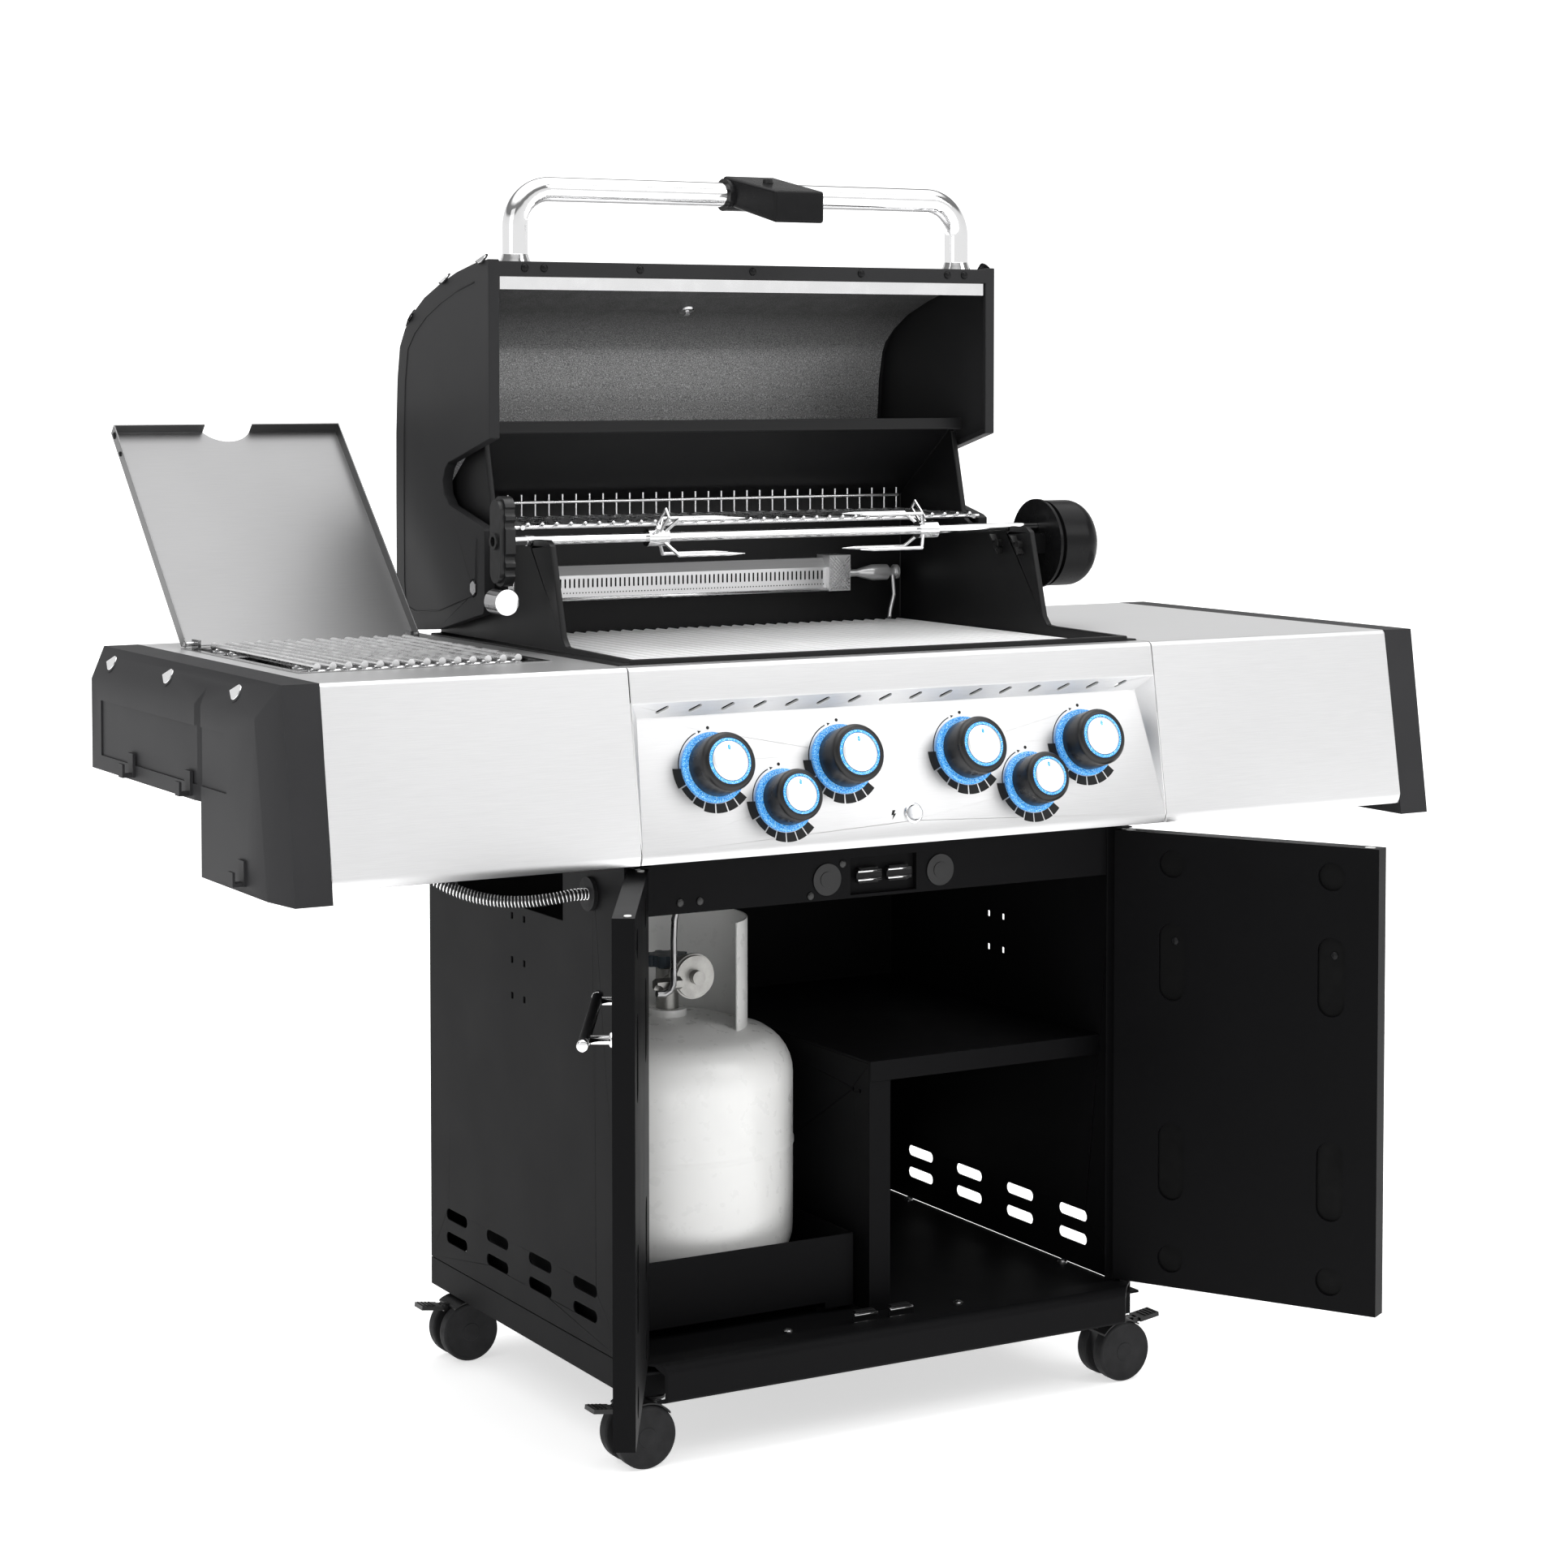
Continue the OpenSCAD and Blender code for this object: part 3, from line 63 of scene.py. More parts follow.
# ------------------------------------------------------------------ material building blocks
class Paint:
    """A Principled material with a few helpers for procedural detail in object space."""

    def __init__(self, name, color, rough, metallic=0.0, specular=0.5):
        self.material = bpy.data.materials.new(name)
        self.material.use_nodes = True
        self.tree = self.material.node_tree
        self.shader = self.tree.nodes["Principled BSDF"]
        self.shader.inputs["Base Color"].default_value = (*color, 1)
        self.shader.inputs["Roughness"].default_value = rough
        self.shader.inputs["Metallic"].default_value = metallic
        self.shader.inputs["Specular IOR Level"].default_value = specular
        self.color = color
        self.normal = None
        coords = self.node("ShaderNodeTexCoord")
        self.place = coords.outputs["Object"]

    def node(self, kind, **values):
        made = self.tree.nodes.new(kind)
        for key, value in values.items():
            setattr(made, key, value)
        return made

    def link(self, a, b):
        self.tree.links.new(a, b)

    def noise(self, scale, detail=3.0, stretch=(1, 1, 1), rough=0.55):
        mapping = self.node("ShaderNodeMapping")
        mapping.inputs["Scale"].default_value = stretch
        self.link(self.place, mapping.inputs["Vector"])
        made = self.node("ShaderNodeTexNoise")
        made.inputs["Scale"].default_value = scale
        made.inputs["Detail"].default_value = detail
        made.inputs["Roughness"].default_value = rough
        self.link(mapping.outputs["Vector"], made.inputs["Vector"])
        return made.outputs["Fac"]

    def height(self):
        """Height over the floor, as the node stands at rest."""
        made = self.node("ShaderNodeSeparateXYZ")
        self.link(self.place, made.inputs["Vector"])
        return made.outputs["Z"]

    def spread(self, value, low, high, start=0.3, stop=0.7):
        made = self.node("ShaderNodeMapRange")
        made.inputs["From Min"].default_value = start
        made.inputs["From Max"].default_value = stop
        made.inputs["To Min"].default_value = low
        made.inputs["To Max"].default_value = high
        self.link(value, made.inputs["Value"])
        return made.outputs["Result"]

    def ramp(self, value, stops):
        made = self.node("ShaderNodeValToRGB")
        marks = made.color_ramp.elements
        while len(marks) < len(stops):
            marks.new(0.5)
        for mark, (at, color) in zip(marks, stops):
            mark.position = at
            mark.color = (*color, 1)
        self.link(value, made.inputs["Fac"])
        return made.outputs["Color"]

    def shade(self, value, dark, light, start=0.3, stop=0.7):
        """Colour that swings between dark and light times the base colour."""
        low = tuple(c * dark for c in self.color)
        high = tuple(min(1, c * light) for c in self.color)
        self.link(self.ramp(value, [(start, low), (stop, high)]), self.shader.inputs["Base Color"])
        return self

    def vary_rough(self, value, low, high):
        self.link(self.spread(value, low, high), self.shader.inputs["Roughness"])
        return self

    def bump(self, value, strength, depth):
        made = self.node("ShaderNodeBump")
        made.inputs["Strength"].default_value = strength
        made.inputs["Distance"].default_value = depth
        self.link(value, made.inputs["Height"])
        if self.normal is not None:
            self.link(self.normal, made.inputs["Normal"])
        self.normal = made.outputs["Normal"]
        self.link(self.normal, self.shader.inputs["Normal"])
        return self

    def set(self, **values):
        for key, value in values.items():
            self.shader.inputs[key.replace("_", " ")].default_value = value
        return self


def brushed(name, grey=0.84, rough=0.3, along="x", grain=2200.0, metallic=1.0):
    """Brushed stainless sheet: long fine scratches along one axis, faint smudges in its sheen."""
    stretch = {"x": (0.012, 1, 1), "y": (1, 0.012, 1), "z": (1, 1, 0.012)}[along]
    p = Paint(name, (grey, grey, grey * 1.006), rough, metallic)
    fine = p.noise(grain, 2.0, stretch)
    smudge = p.noise(3.0, 2.0)
    p.shade(fine, 0.97, 1.025, 0.35, 0.65)
    p.vary_rough(smudge, rough * 0.95, rough * 1.06)
    return p.bump(fine, 0.07, 0.0002)


def panel_steel():
    """Brushed face of the control panel, with the stepped band under its top edge left satin grey."""
    p = brushed("panel_brushed_steel", 0.74, 0.36)
    bare, satin = (1, 1, 1), (0.12, 0.12, 0.12)
    foot, top, blur = DECK - 59 * MM, BAND_TOP, 0.5 * MM
    band = [(foot - blur, bare), (foot + blur, satin), (top - blur, satin), (top + blur, bare)]
    p.link(p.ramp(p.height(), band), p.shader.inputs["Metallic"])
    return p


def polished(name, grey=0.9, rough=0.06):
    p = Paint(name, (grey, grey, grey * 1.005), rough, 1.0)
    p.vary_rough(p.noise(40.0, 4.0), rough * 0.6, rough * 1.8)
    return p.bump(p.noise(14.0, 2.0), 0.02, 0.002)


def powder(name, color, rough=0.5, specular=0.2, grain=1400.0, depth=0.00012):
    """Powder-coated or cast and painted metal: a fine orange peel, slightly uneven sheen."""
    p = Paint(name, color, rough, 0.0, specular)
    fine = p.noise(grain, 2.0)
    broad = p.noise(9.0, 4.0)
    p.shade(broad, 0.93, 1.08)
    p.vary_rough(broad, rough * 0.95, rough * 1.05)
    return p.bump(fine, 0.35, depth).bump(p.noise(260.0, 2.0), 0.12, 0.0003)


def plastic(name, color, rough=0.35, specular=0.35):
    p = Paint(name, color, rough, 0.0, specular)
    p.shade(p.noise(22.0, 3.0), 0.88, 1.14)
    p.vary_rough(p.noise(60.0, 3.0), rough * 0.85, rough * 1.2)
    return p.bump(p.noise(1800.0, 1.0), 0.18, 0.0001)


def speckled_steel():
    """Inner sheet of the hood: mottled coating with light and dark grains, with painted shade darkening it
    towards its front edge and painted light brightening the rest, set by height over the floor.
    """
    painted_shade_from, painted_shade_to = 1.27, 1.33
    p = Paint("hood_liner_speckle", (0.2, 0.2, 0.205), 0.42, 0.35, 0.4)
    grain = p.noise(900.0, 2.0, rough=0.7)
    dark, middle, light = (0.14, 0.14, 0.142), (0.36, 0.36, 0.362), (0.75, 0.75, 0.75)
    color = p.ramp(grain, [(0.34, dark), (0.5, middle), (0.66, light)])
    # Painted shade and light: the grain colour is scaled from 1.25 below 1.27 m down to 0.34 above 1.33 m.
    painted_light_and_shade = p.node("ShaderNodeVectorMath", operation="SCALE")
    p.link(color, painted_light_and_shade.inputs["Vector"])
    p.link(p.spread(p.height(), 1.25, 0.34, painted_shade_from, painted_shade_to), painted_light_and_shade.inputs["Scale"])
    p.link(painted_light_and_shade.outputs["Vector"], p.shader.inputs["Base Color"])
    p.vary_rough(p.noise(30.0, 3.0), 0.34, 0.5)
    return p.bump(grain, 0.3, 0.0003)


def enamel_white():
    p = Paint("tank_enamel", (0.93, 0.93, 0.915), 0.3, 0.0, 0.5)
    p.shade(p.noise(14.0, 5.0), 0.985, 1.01)
    p.vary_rough(p.noise(55.0, 3.0), 0.24, 0.4)
    return p.bump(p.noise(420.0, 2.0), 0.12, 0.0003).set(Coat_Weight=0.25, Coat_Roughness=0.15)


def glowing_blue(name, glow):
    """Translucent lit ring with a fine sparkle in it."""
    p = Paint(name, (0.01, 0.2, 0.8), 0.25, 0.0, 0.5)
    sparkle = p.noise(900.0, 2.0, rough=0.8)
    deep, blue, pale = (0.0, 0.14, 0.62), (0.015, 0.36, 0.95), (0.5, 0.85, 1.0)
    color = p.ramp(sparkle, [(0.36, deep), (0.5, blue), (0.64, pale)])
    p.link(color, p.shader.inputs["Base Color"])
    p.link(color, p.shader.inputs["Emission Color"])
    return p.bump(sparkle, 0.15, 0.0002).set(Emission_Strength=glow)


def rubber(name):
    p = Paint(name, (0.022, 0.022, 0.023), 0.62, 0.0, 0.12)
    p.shade(p.noise(35.0, 4.0), 0.75, 1.15)
    p.vary_rough(p.noise(80.0, 3.0), 0.52, 0.75)
    return p.bump(p.noise(700.0, 3.0), 0.3, 0.0002)


def cast_grey():
    p = Paint("regulator_cast", (0.36, 0.355, 0.34), 0.42, 0.85)
    p.shade(p.noise(70.0, 5.0), 0.8, 1.1)
    return p.bump(p.noise(520.0, 3.0), 0.4, 0.0004)


def fastener_bands():
    """Zinc screws at the floor and the work surface, black ones on the cart and the cook box."""
    p = Paint("fastener_zinc_and_black", (0.62, 0.62, 0.62), 0.3, 1.0)
    zinc, black, none, full = (0.62, 0.62, 0.62), (0.01, 0.01, 0.01), (0, 0, 0), (1, 1, 1)
    bands = ((0.2, True), (0.21, False), (0.85, False), (0.86, True), (0.94, True), (0.95, False))
    height = p.height()
    color = p.ramp(height, [(at, zinc if bare else black) for at, bare in bands])
    metal = p.ramp(height, [(at, full if bare else none) for at, bare in bands])
    p.link(color, p.shader.inputs["Base Color"])
    p.link(metal, p.shader.inputs["Metallic"])
    p.vary_rough(p.noise(40.0, 4.0), 0.2, 0.4)
    return p.bump(p.noise(300.0, 2.0), 0.1, 0.0002)


M = {
    "cart": powder("cart_powder_coat", (0.006, 0.006, 0.0065), 0.52, 0.05),
    "cart_inner": powder("cart_inner_coat", (0.005, 0.005, 0.0055), 0.55, 0.06),
    "door": powder("door_powder_coat", (0.0042, 0.0042, 0.0046), 0.45, 0.05),
    "cap": powder("end_cap_coat", (0.027, 0.027, 0.0285), 0.55, 0.15, grain=900.0, depth=0.0002),
    "hood_cast": powder("hood_cast_coat", (0.019, 0.019, 0.02), 0.55, 0.2, grain=700.0, depth=0.00025),
    "firebox": powder("cook_box_enamel", (0.0075, 0.0075, 0.008), 0.4, 0.25, grain=800.0, depth=0.0002),
    "sheet": brushed("shelf_brushed_steel", 0.8, 0.36),
    "panel": panel_steel(),
    "hood": brushed("hood_brushed_steel", 0.8, 0.3),
    # Side burner lid: the brushed steel given a dark grey base, painted shade standing in for the dim
    # reflection it shows.
    "side_lid": brushed("side_lid_steel_painted_shade", 0.22, 0.45),
    "pan": brushed("side_pan_steel", 0.3, 0.12, "y"),
    "rod": polished("rod_steel", 0.95, 0.24),
    # Cooking grates: near-white and hardly metallic, painted light standing in for the strong light the rods
    # catch from above.
    "grate": brushed("grate_rod_steel_painted_light", 0.98, 0.4, "y", 900.0, 0.1),
    "burner": brushed("burner_steel", 0.9, 0.25, "x", 900.0, 0.65),
    "tube": brushed("burner_tube_steel", 0.45, 0.4, "y", 500.0),
    "galvanised": brushed("tray_galvanised", 0.5, 0.4, "y", 300.0),
    "chrome": polished("chrome_bright", 0.93, 0.045),
    "spit": polished("spit_chrome", 0.9, 0.09),
    "zinc": polished("zinc_plating", 0.62, 0.24),
    "fastener": fastener_bands(),
    "pipe": polished("gas_pipe_steel", 0.3, 0.3),
    "black_plastic": plastic("black_plastic", (0.012, 0.012, 0.0125), 0.36, 0.35),
    "knob": plastic("knob_plastic", (0.011, 0.011, 0.0115), 0.3, 0.4),
    "gloss_black": plastic("gloss_black", (0.009, 0.009, 0.0095), 0.24, 0.12),
    "caster": plastic("caster_plastic", (0.014, 0.014, 0.0145), 0.45, 0.3),
    "button": plastic("button_white", (0.8, 0.81, 0.83), 0.22, 0.5),
    "valve": plastic("valve_wheel_blue_grey", (0.03, 0.045, 0.06), 0.45, 0.4),
    "ink": plastic("panel_ink", (0.008, 0.008, 0.008), 0.45, 0.3),
    "liner": speckled_steel(),
    "tank": enamel_white(),
    "bezel": glowing_blue("bezel_blue_glow", 0.15),
    "ring": glowing_blue("cap_ring_blue_glow", 0.3),
    "wheel": rubber("wheel_rubber"),
    "rubber": rubber("grommet_rubber"),
    "cast": cast_grey(),
    "silver": brushed("knob_cap_silver", 0.93, 0.35, metallic=0.7),
    # Near-black plates laid into recesses and over openings: painted shade.
    "recess": plastic("recess_black", (0.0022, 0.0022, 0.0023), 0.6, 0.1),
    "pad": plastic("white_pad", (0.7, 0.7, 0.69), 0.5, 0.3),
    "bright": polished("bright_steel", 0.92, 0.1),
}
M = {key: paint.material for key, paint in M.items()}

NODE_PAINT = {
    "base_tray": "cart", "cabinet_panels": "cart", "front_valance": "cart",
    "door_catches": "black_plastic",
    "cabinet_divider": "cart_inner", "cabinet_shelf": "cart_inner", "tank_tray": "cart_inner",
    "gas_tank": "tank", "regulator": "cast", "valve_wheel": "valve", "supply_hose": "pipe",
    "hinge_pins": "zinc", "fasteners": "fastener", "left_door": "door", "right_door": "door",
    "side_shelves": "sheet", "end_caps": "cap", "side_burner": "pan", "side_burner_grate": "rod",
    "side_burner_lid": "side_lid", "side_burner_hose": "rubber", "control_panel": "panel",
    "knob_bezels": "bezel", "igniter_button": "button", "firebox": "firebox", "rear_burner": "burner",
    "warming_rack": "rod", "cooking_grates": "grate", "main_burners": "tube", "gas_manifold": "zinc",
    "grease_tray": "galvanised", "spit_motor": "gloss_black", "spit_rod": "spit",
    "spit_grip": "black_plastic", "spit_forks": "spit", "lid_shell": "hood", "lid_liner": "liner",
    "lid_frame": "hood_cast",
    "lid_handle": "chrome", "handle_light": "gloss_black", "light_button": "black_plastic",
    "thermometer": "chrome",
}
for number in range(1, 7):
    NODE_PAINT[f"knob_{number}"] = "knob"
for corner in ("fl", "fr", "rl", "rr"):
    NODE_PAINT[f"caster_{corner}_housing"] = "caster"
    NODE_PAINT[f"caster_{corner}_wheels"] = "wheel"
    NODE_PAINT[f"caster_{corner}_lever"] = "black_plastic"

DEFAULT_EDGE = 0.6 * MM
EDGE = {
    "end_caps": 4 * MM, "lid_frame": 2.2 * MM, "firebox": 1.5 * MM, "spit_motor": 1.5 * MM,
    "left_door": 1.2 * MM, "right_door": 1.2 * MM, "handle_light": 0.5 * MM, "tank_tray": 1.0 * MM,
}
NO_EDGE = ("cooking_grates", "warming_rack", "side_burner_grate", "spit_forks", "supply_hose",
           "side_burner_hose", "main_burners", "gas_manifold", "hinge_pins")


def soften(thing, width):
    """Weld the exported seams, round the sharp edges or at least split them, and shade smoothly."""
    sharp = math.radians(38)
    for polygon in thing.data.polygons:
        polygon.use_smooth = True
    weld = thing.modifiers.new("weld", "WELD")
    weld.merge_threshold = 0.00002
    if width > 0:
        bevel = thing.modifiers.new("edges", "BEVEL")
        bevel.width = width
        bevel.segments = 2
        bevel.limit_method = "ANGLE"
        bevel.angle_limit = sharp
        bevel.use_clamp_overlap = True
    else:
        split = thing.modifiers.new("edges", "EDGE_SPLIT")
        split.split_angle = sharp
    normals = thing.modifiers.new("normals", "WEIGHTED_NORMAL")
    normals.keep_sharp = True


for name, thing in NODES.items():
    thing.data.materials.clear()
    thing.data.materials.append(M[NODE_PAINT[name]])
    soften(thing, 0 if name in NO_EDGE else EDGE.get(name, DEFAULT_EDGE))


# ------------------------------------------------------------------ piece building blocks
def keep(thing, body, paint):
    thing.data.materials.clear()
    thing.data.materials.append(M[paint])
    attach(thing, body)
    return thing


def mm(pairs):
    """Pairs in millimetres as metres."""
    return [(x * MM, y * MM) for x, y in pairs]


def mesh_piece(name, points, faces, matrix=Matrix()):
    mesh = bpy.data.meshes.new(name)
    mesh.from_pydata([tuple(p) for p in points], [], faces)
    mesh.transform(matrix)
    mesh.update()
    thing = bpy.data.objects.new(name, mesh)
    PIECES.objects.link(thing)
    for polygon in mesh.polygons:
        polygon.use_smooth = True
    return thing


def lathe(name, profile, matrix, sides=64):
    """A closed or open (radius, height) profile turned about local Z."""
    points, faces = [], []
    for r, z in profile:
        for k in range(sides):
            angle = 2 * math.pi * k / sides
            points.append((r * math.cos(angle), r * math.sin(angle), z))
    for i in range(len(profile) - 1):
        for k in range(sides):
            a, b = i * sides + k, i * sides + (k + 1) % sides
            faces.append((a, b, b + sides, a + sides))
    thing = mesh_piece(name, points, faces, matrix)
    tidy(thing)
    return thing


def tidy(thing):
    """Merge doubled points, close flat ends and turn all faces outwards."""
    work = bmesh.new()
    work.from_mesh(thing.data)
    bmesh.ops.remove_doubles(work, verts=work.verts, dist=0.000005)
    open_edges = [e for e in work.edges if len(e.link_faces) == 1]
    if open_edges:
        bmesh.ops.holes_fill(work, edges=open_edges, sides=0)
    bmesh.ops.recalc_face_normals(work, faces=work.faces)
    work.to_mesh(thing.data)
    work.free()


def plate(name, outline, thick, matrix, edge=0.0):
    """A flat outline in local XY, given thickness along local Z, with an optional soft edge."""
    n = len(outline)
    points = [(x, y, 0) for x, y in outline] + [(x, y, thick) for x, y in outline]
    faces = [tuple(range(n - 1, -1, -1)), tuple(range(n, 2 * n))]
    faces += [(i, (i + 1) % n, (i + 1) % n + n, i + n) for i in range(n)]
    thing = mesh_piece(name, points, faces, matrix)
    tidy(thing)
    for polygon in thing.data.polygons:
        polygon.use_smooth = False
    if edge:
        bevel = thing.modifiers.new("edges", "BEVEL")
        bevel.width = edge
        bevel.segments = 2
        bevel.limit_method = "ANGLE"
    return thing


def tube(name, route, radius, closed=False, sides=10):
    """A round tube along a route, built as a mesh."""
    rings, count = [], len(route)
    route = [Vector(p) for p in route]
    side = None
    for i, point in enumerate(route):
        if closed:
            ahead, behind = route[(i + 1) % count], route[i - 1]
        else:
            ahead, behind = route[min(i + 1, count - 1)], route[max(i - 1, 0)]
        along = (ahead - behind).normalized()
        if side is None:
            side = along.orthogonal().normalized()
        side = (side - along * side.dot(along)).normalized()
        up = along.cross(side)
        rings.append([
            point + radius * (math.cos(a) * side + math.sin(a) * up)
            for a in (2 * math.pi * k / sides for k in range(sides))
        ])
    points = [p for ring in rings for p in ring]
    faces = []
    for i in range(count if closed else count - 1):
        for k in range(sides):
            a, b = i * sides + k, i * sides + (k + 1) % sides
            c, d = (a + sides) % len(points), (b + sides) % len(points)
            faces.append((a, b, d, c))
    if not closed:
        faces.append(tuple(range(sides - 1, -1, -1)))
        faces.append(tuple(len(points) - sides + k for k in range(sides)))
    thing = mesh_piece(name, points, faces)
    tidy(thing)
    return thing


def circle(radius, sides=48, start=0.0, stop=360.0):
    steps = sides if stop - start >= 360 else sides + 1
    return [
        (radius * math.cos(a), radius * math.sin(a))
        for a in (math.radians(start + (stop - start) * k / sides) for k in range(steps))
    ]


def sector(r0, r1, start, stop, steps=14):
    return circle(r1, steps, start, stop) + circle(r0, steps, start, stop)[::-1]


def join(name, parts):
    """Several pieces of one material as one named piece."""
    bpy.ops.object.select_all(action="DESELECT")
    for part in parts:
        for modifier in list(part.modifiers):
            bpy.context.view_layer.objects.active = part
            bpy.ops.object.modifier_apply(modifier=modifier.name)
        part.select_set(True)
    bpy.context.view_layer.objects.active = parts[0]
    bpy.ops.object.join()
    parts[0].name = name
    return parts[0]


def on_panel(x, s, out=0.0):
    """Local frame on the sloping panel face: X right, Y up the face, Z outwards."""
    y_dir = Vector((0, math.cos(PANEL_LEAN), math.sin(PANEL_LEAN)))
    z_dir = Vector((0, -math.sin(PANEL_LEAN), math.cos(PANEL_LEAN)))
    origin = Vector((x, PANEL_TOP.y, PANEL_TOP.z)) - y_dir * s + z_dir * out
    turn = Matrix((Vector((1, 0, 0)), y_dir, z_dir)).transposed().to_4x4()
    return Matrix.Translation(origin) @ turn


# Frames with their origin at the fascia's front and the work surface: one that stays, and the closed
# hood's own, turned open
FRONT = Matrix.Translation((0, FRONT_Y, DECK))
HOOD_TURN = Matrix.Rotation(math.radians(-90), 4, "X")
HOOD = Matrix.Translation(PIVOT) @ HOOD_TURN @ Matrix.Translation(-PIVOT) @ FRONT


def facing(origin, x_dir, z_dir):
    """A local frame at a point in millimetres: X along x_dir, Z along z_dir as near as can be."""
    x_axis = Vector(x_dir).normalized()
    z_axis = (Vector(z_dir) - x_axis * Vector(z_dir).dot(x_axis)).normalized()
    turn = Matrix((x_axis, z_axis.cross(x_axis), z_axis)).transposed().to_4x4()
    return Matrix.Translation(Vector(origin) * MM) @ turn


def teardrop(length, width):
    """Outline of a drop: a round end at the origin and a point towards +X."""
    r = width / 2
    side = math.degrees(math.acos(min(1, r / (length - r))))
    return circle(r, 18, side, 360 - side) + [(length - r, 0)]


def drop_rim(length, width, grow):
    """Outline of the raised rim round a drop."""
    return [(grow * x - 1 * MM, grow * y) for x, y in teardrop(length, width)]


def slot_outline(length, width):
    """Round-ended slot along X, centred."""
    r, half = width / 2, length / 2 - width / 2
    right = [(half + x, y) for x, y in circle(r, 10, -90, 90)]
    return right + [(x - half, y) for x, y in circle(r, 10, 90, 270)]


# ------------------------------------------------------------------ knobs and printed scales
SMALL_SIZE = 0.88
KNOB_TOP = 43
INK = 0.15 * MM
INK_LIFT = 0.05 * MM
# Heat wedges of a scale: start and stop angle, and the share of the full width
WEDGES = (
    (178, 204, 1.0), (206, 228, 0.7), (230, 246, 0.8), (248, 264, 1.0), (266, 282, 1.0), (284, 299, 1.0),
    (301, 316, 1.0),
)
WEDGE_WIDTH = 11 * MM
ARROW_START, ARROW_STOP, ARROW_TIP = 112, 178, 104


def knob_trim():
    for index, step in enumerate(KNOB_STEPS):
        small = index in SMALL_KNOBS
        k = SMALL_SIZE if small else 1.0
        at = on_panel(step * KNOB_PITCH, ROW_SMALL if small else ROW_BIG)
        body = f"knob_{index + 1}"
        cap = lathe(f"knob_cap_{index + 1}", mm([
            (0, KNOB_TOP + 1.2), (12 * k, KNOB_TOP + 1.15), (20 * k, KNOB_TOP + 0.95),
            (22.2 * k, KNOB_TOP + 0.6), (22.9 * k, KNOB_TOP - 0.3), (22.9 * k, KNOB_TOP - 1.6)
        ]), at)
        keep(cap, body, "silver")
        ring = lathe(f"knob_ring_{index + 1}", mm([
            (23.0 * k, KNOB_TOP - 2.2), (23.1 * k, KNOB_TOP - 0.4), (24.2 * k, KNOB_TOP + 0.2),
            (26.0 * k, KNOB_TOP - 0.2), (26.9 * k, KNOB_TOP - 1.4), (26.9 * k, KNOB_TOP - 2.2)
        ]), at)
        keep(ring, body, "ring")
        spot = at @ Matrix.Translation((0, 15.5 * k * MM, (KNOB_TOP + 1.0) * MM))
        dot = lathe(f"knob_dot_{index + 1}", mm([(0, 0.5), (1.6, 0.45), (2.1, 0.2), (2.2, -0.4)]),
                    spot @ Matrix.Diagonal((0.85, 1.5, 1, 1)), 32)
        keep(dot, body, "ring")
        printed_scale(index, at, small)


def printed_scale(index, at, small):
    """Black heat wedges round the lower left of a knob, a thin arrow above, a dot at the top."""
    inner = (37.5 if small else 41.5) * MM
    lift = at @ Matrix.Translation((0, 0, INK_LIFT))
    parts = []
    for start, stop, fill in WEDGES:
        parts.append(plate("wedge", sector(inner, inner + WEDGE_WIDTH * fill, start, stop), INK, lift))
    line = inner + 2.2 * MM
    shaft = sector(line, line + 1.3 * MM, ARROW_START, ARROW_STOP, 24)
    parts.append(plate("arrow_line", shaft, INK, lift))
    tip = math.radians(ARROW_TIP)
    out = Vector((math.cos(tip), math.sin(tip)))
    back = Vector((-math.sin(tip), math.cos(tip)))
    head = out * (line + 0.4 * MM)
    wing = head + back * 2.6 * MM
    arrow = [head - back * 1.6 * MM, wing + out * 1.7 * MM, wing - out * 1.7 * MM]
    parts.append(plate("arrow_head", [(p.x, p.y) for p in arrow], INK, lift))
    off_dot = [(x, y + inner + 5 * MM) for x, y in circle(2.0 * MM, 20)]
    parts.append(plate("off_dot", off_dot, INK, lift))
    keep(join(f"printed_scale_{index + 1}", parts), "cart", "ink")


def igniter_trim():
    at = on_panel(0, ROW_IGNITER)
    collar = lathe("igniter_collar", mm([
        (9.1, 0), (9.1, 2.6), (9.8, 3.2), (11.4, 2.8), (12.4, 1.2), (12.6, 0), (9.1, 0)
    ]), at)
    keep(collar, "cart", "chrome")
    bolt = [(-1, 5), (3, 5), (0.6, 1), (3.4, 1), (-3, -6), (-0.8, -0.6), (-3.4, -0.6)]
    spark = plate("igniter_spark", mm(bolt), INK, on_panel(-27 * MM, ROW_IGNITER, INK_LIFT))
    keep(spark, "cart", "ink")


# ------------------------------------------------------------------ doors
DOOR_HALF = 12
RECESS_DEPTH = 3.9
RECESS_X = (71, 277)
PULL_X = (71 + 277) / 2 + 8
PULL_Z = 552
PULL_OUT = 31
# From the middle of the pull to its end and to its post
PULL_END = 141
PULL_POST = 108


def door_frame(side):
    """Local frame of a door as it stands: X along the door from its hinge, Y to its inner face, Z up."""
    turn = Matrix.Rotation(math.radians(-120), 4, "Z")
    at = Matrix.Translation((-HINGE_X, HINGE_Y, 0)) @ turn
    return Matrix.Diagonal((-1, 1, 1, 1)) @ at if side == "right" else at


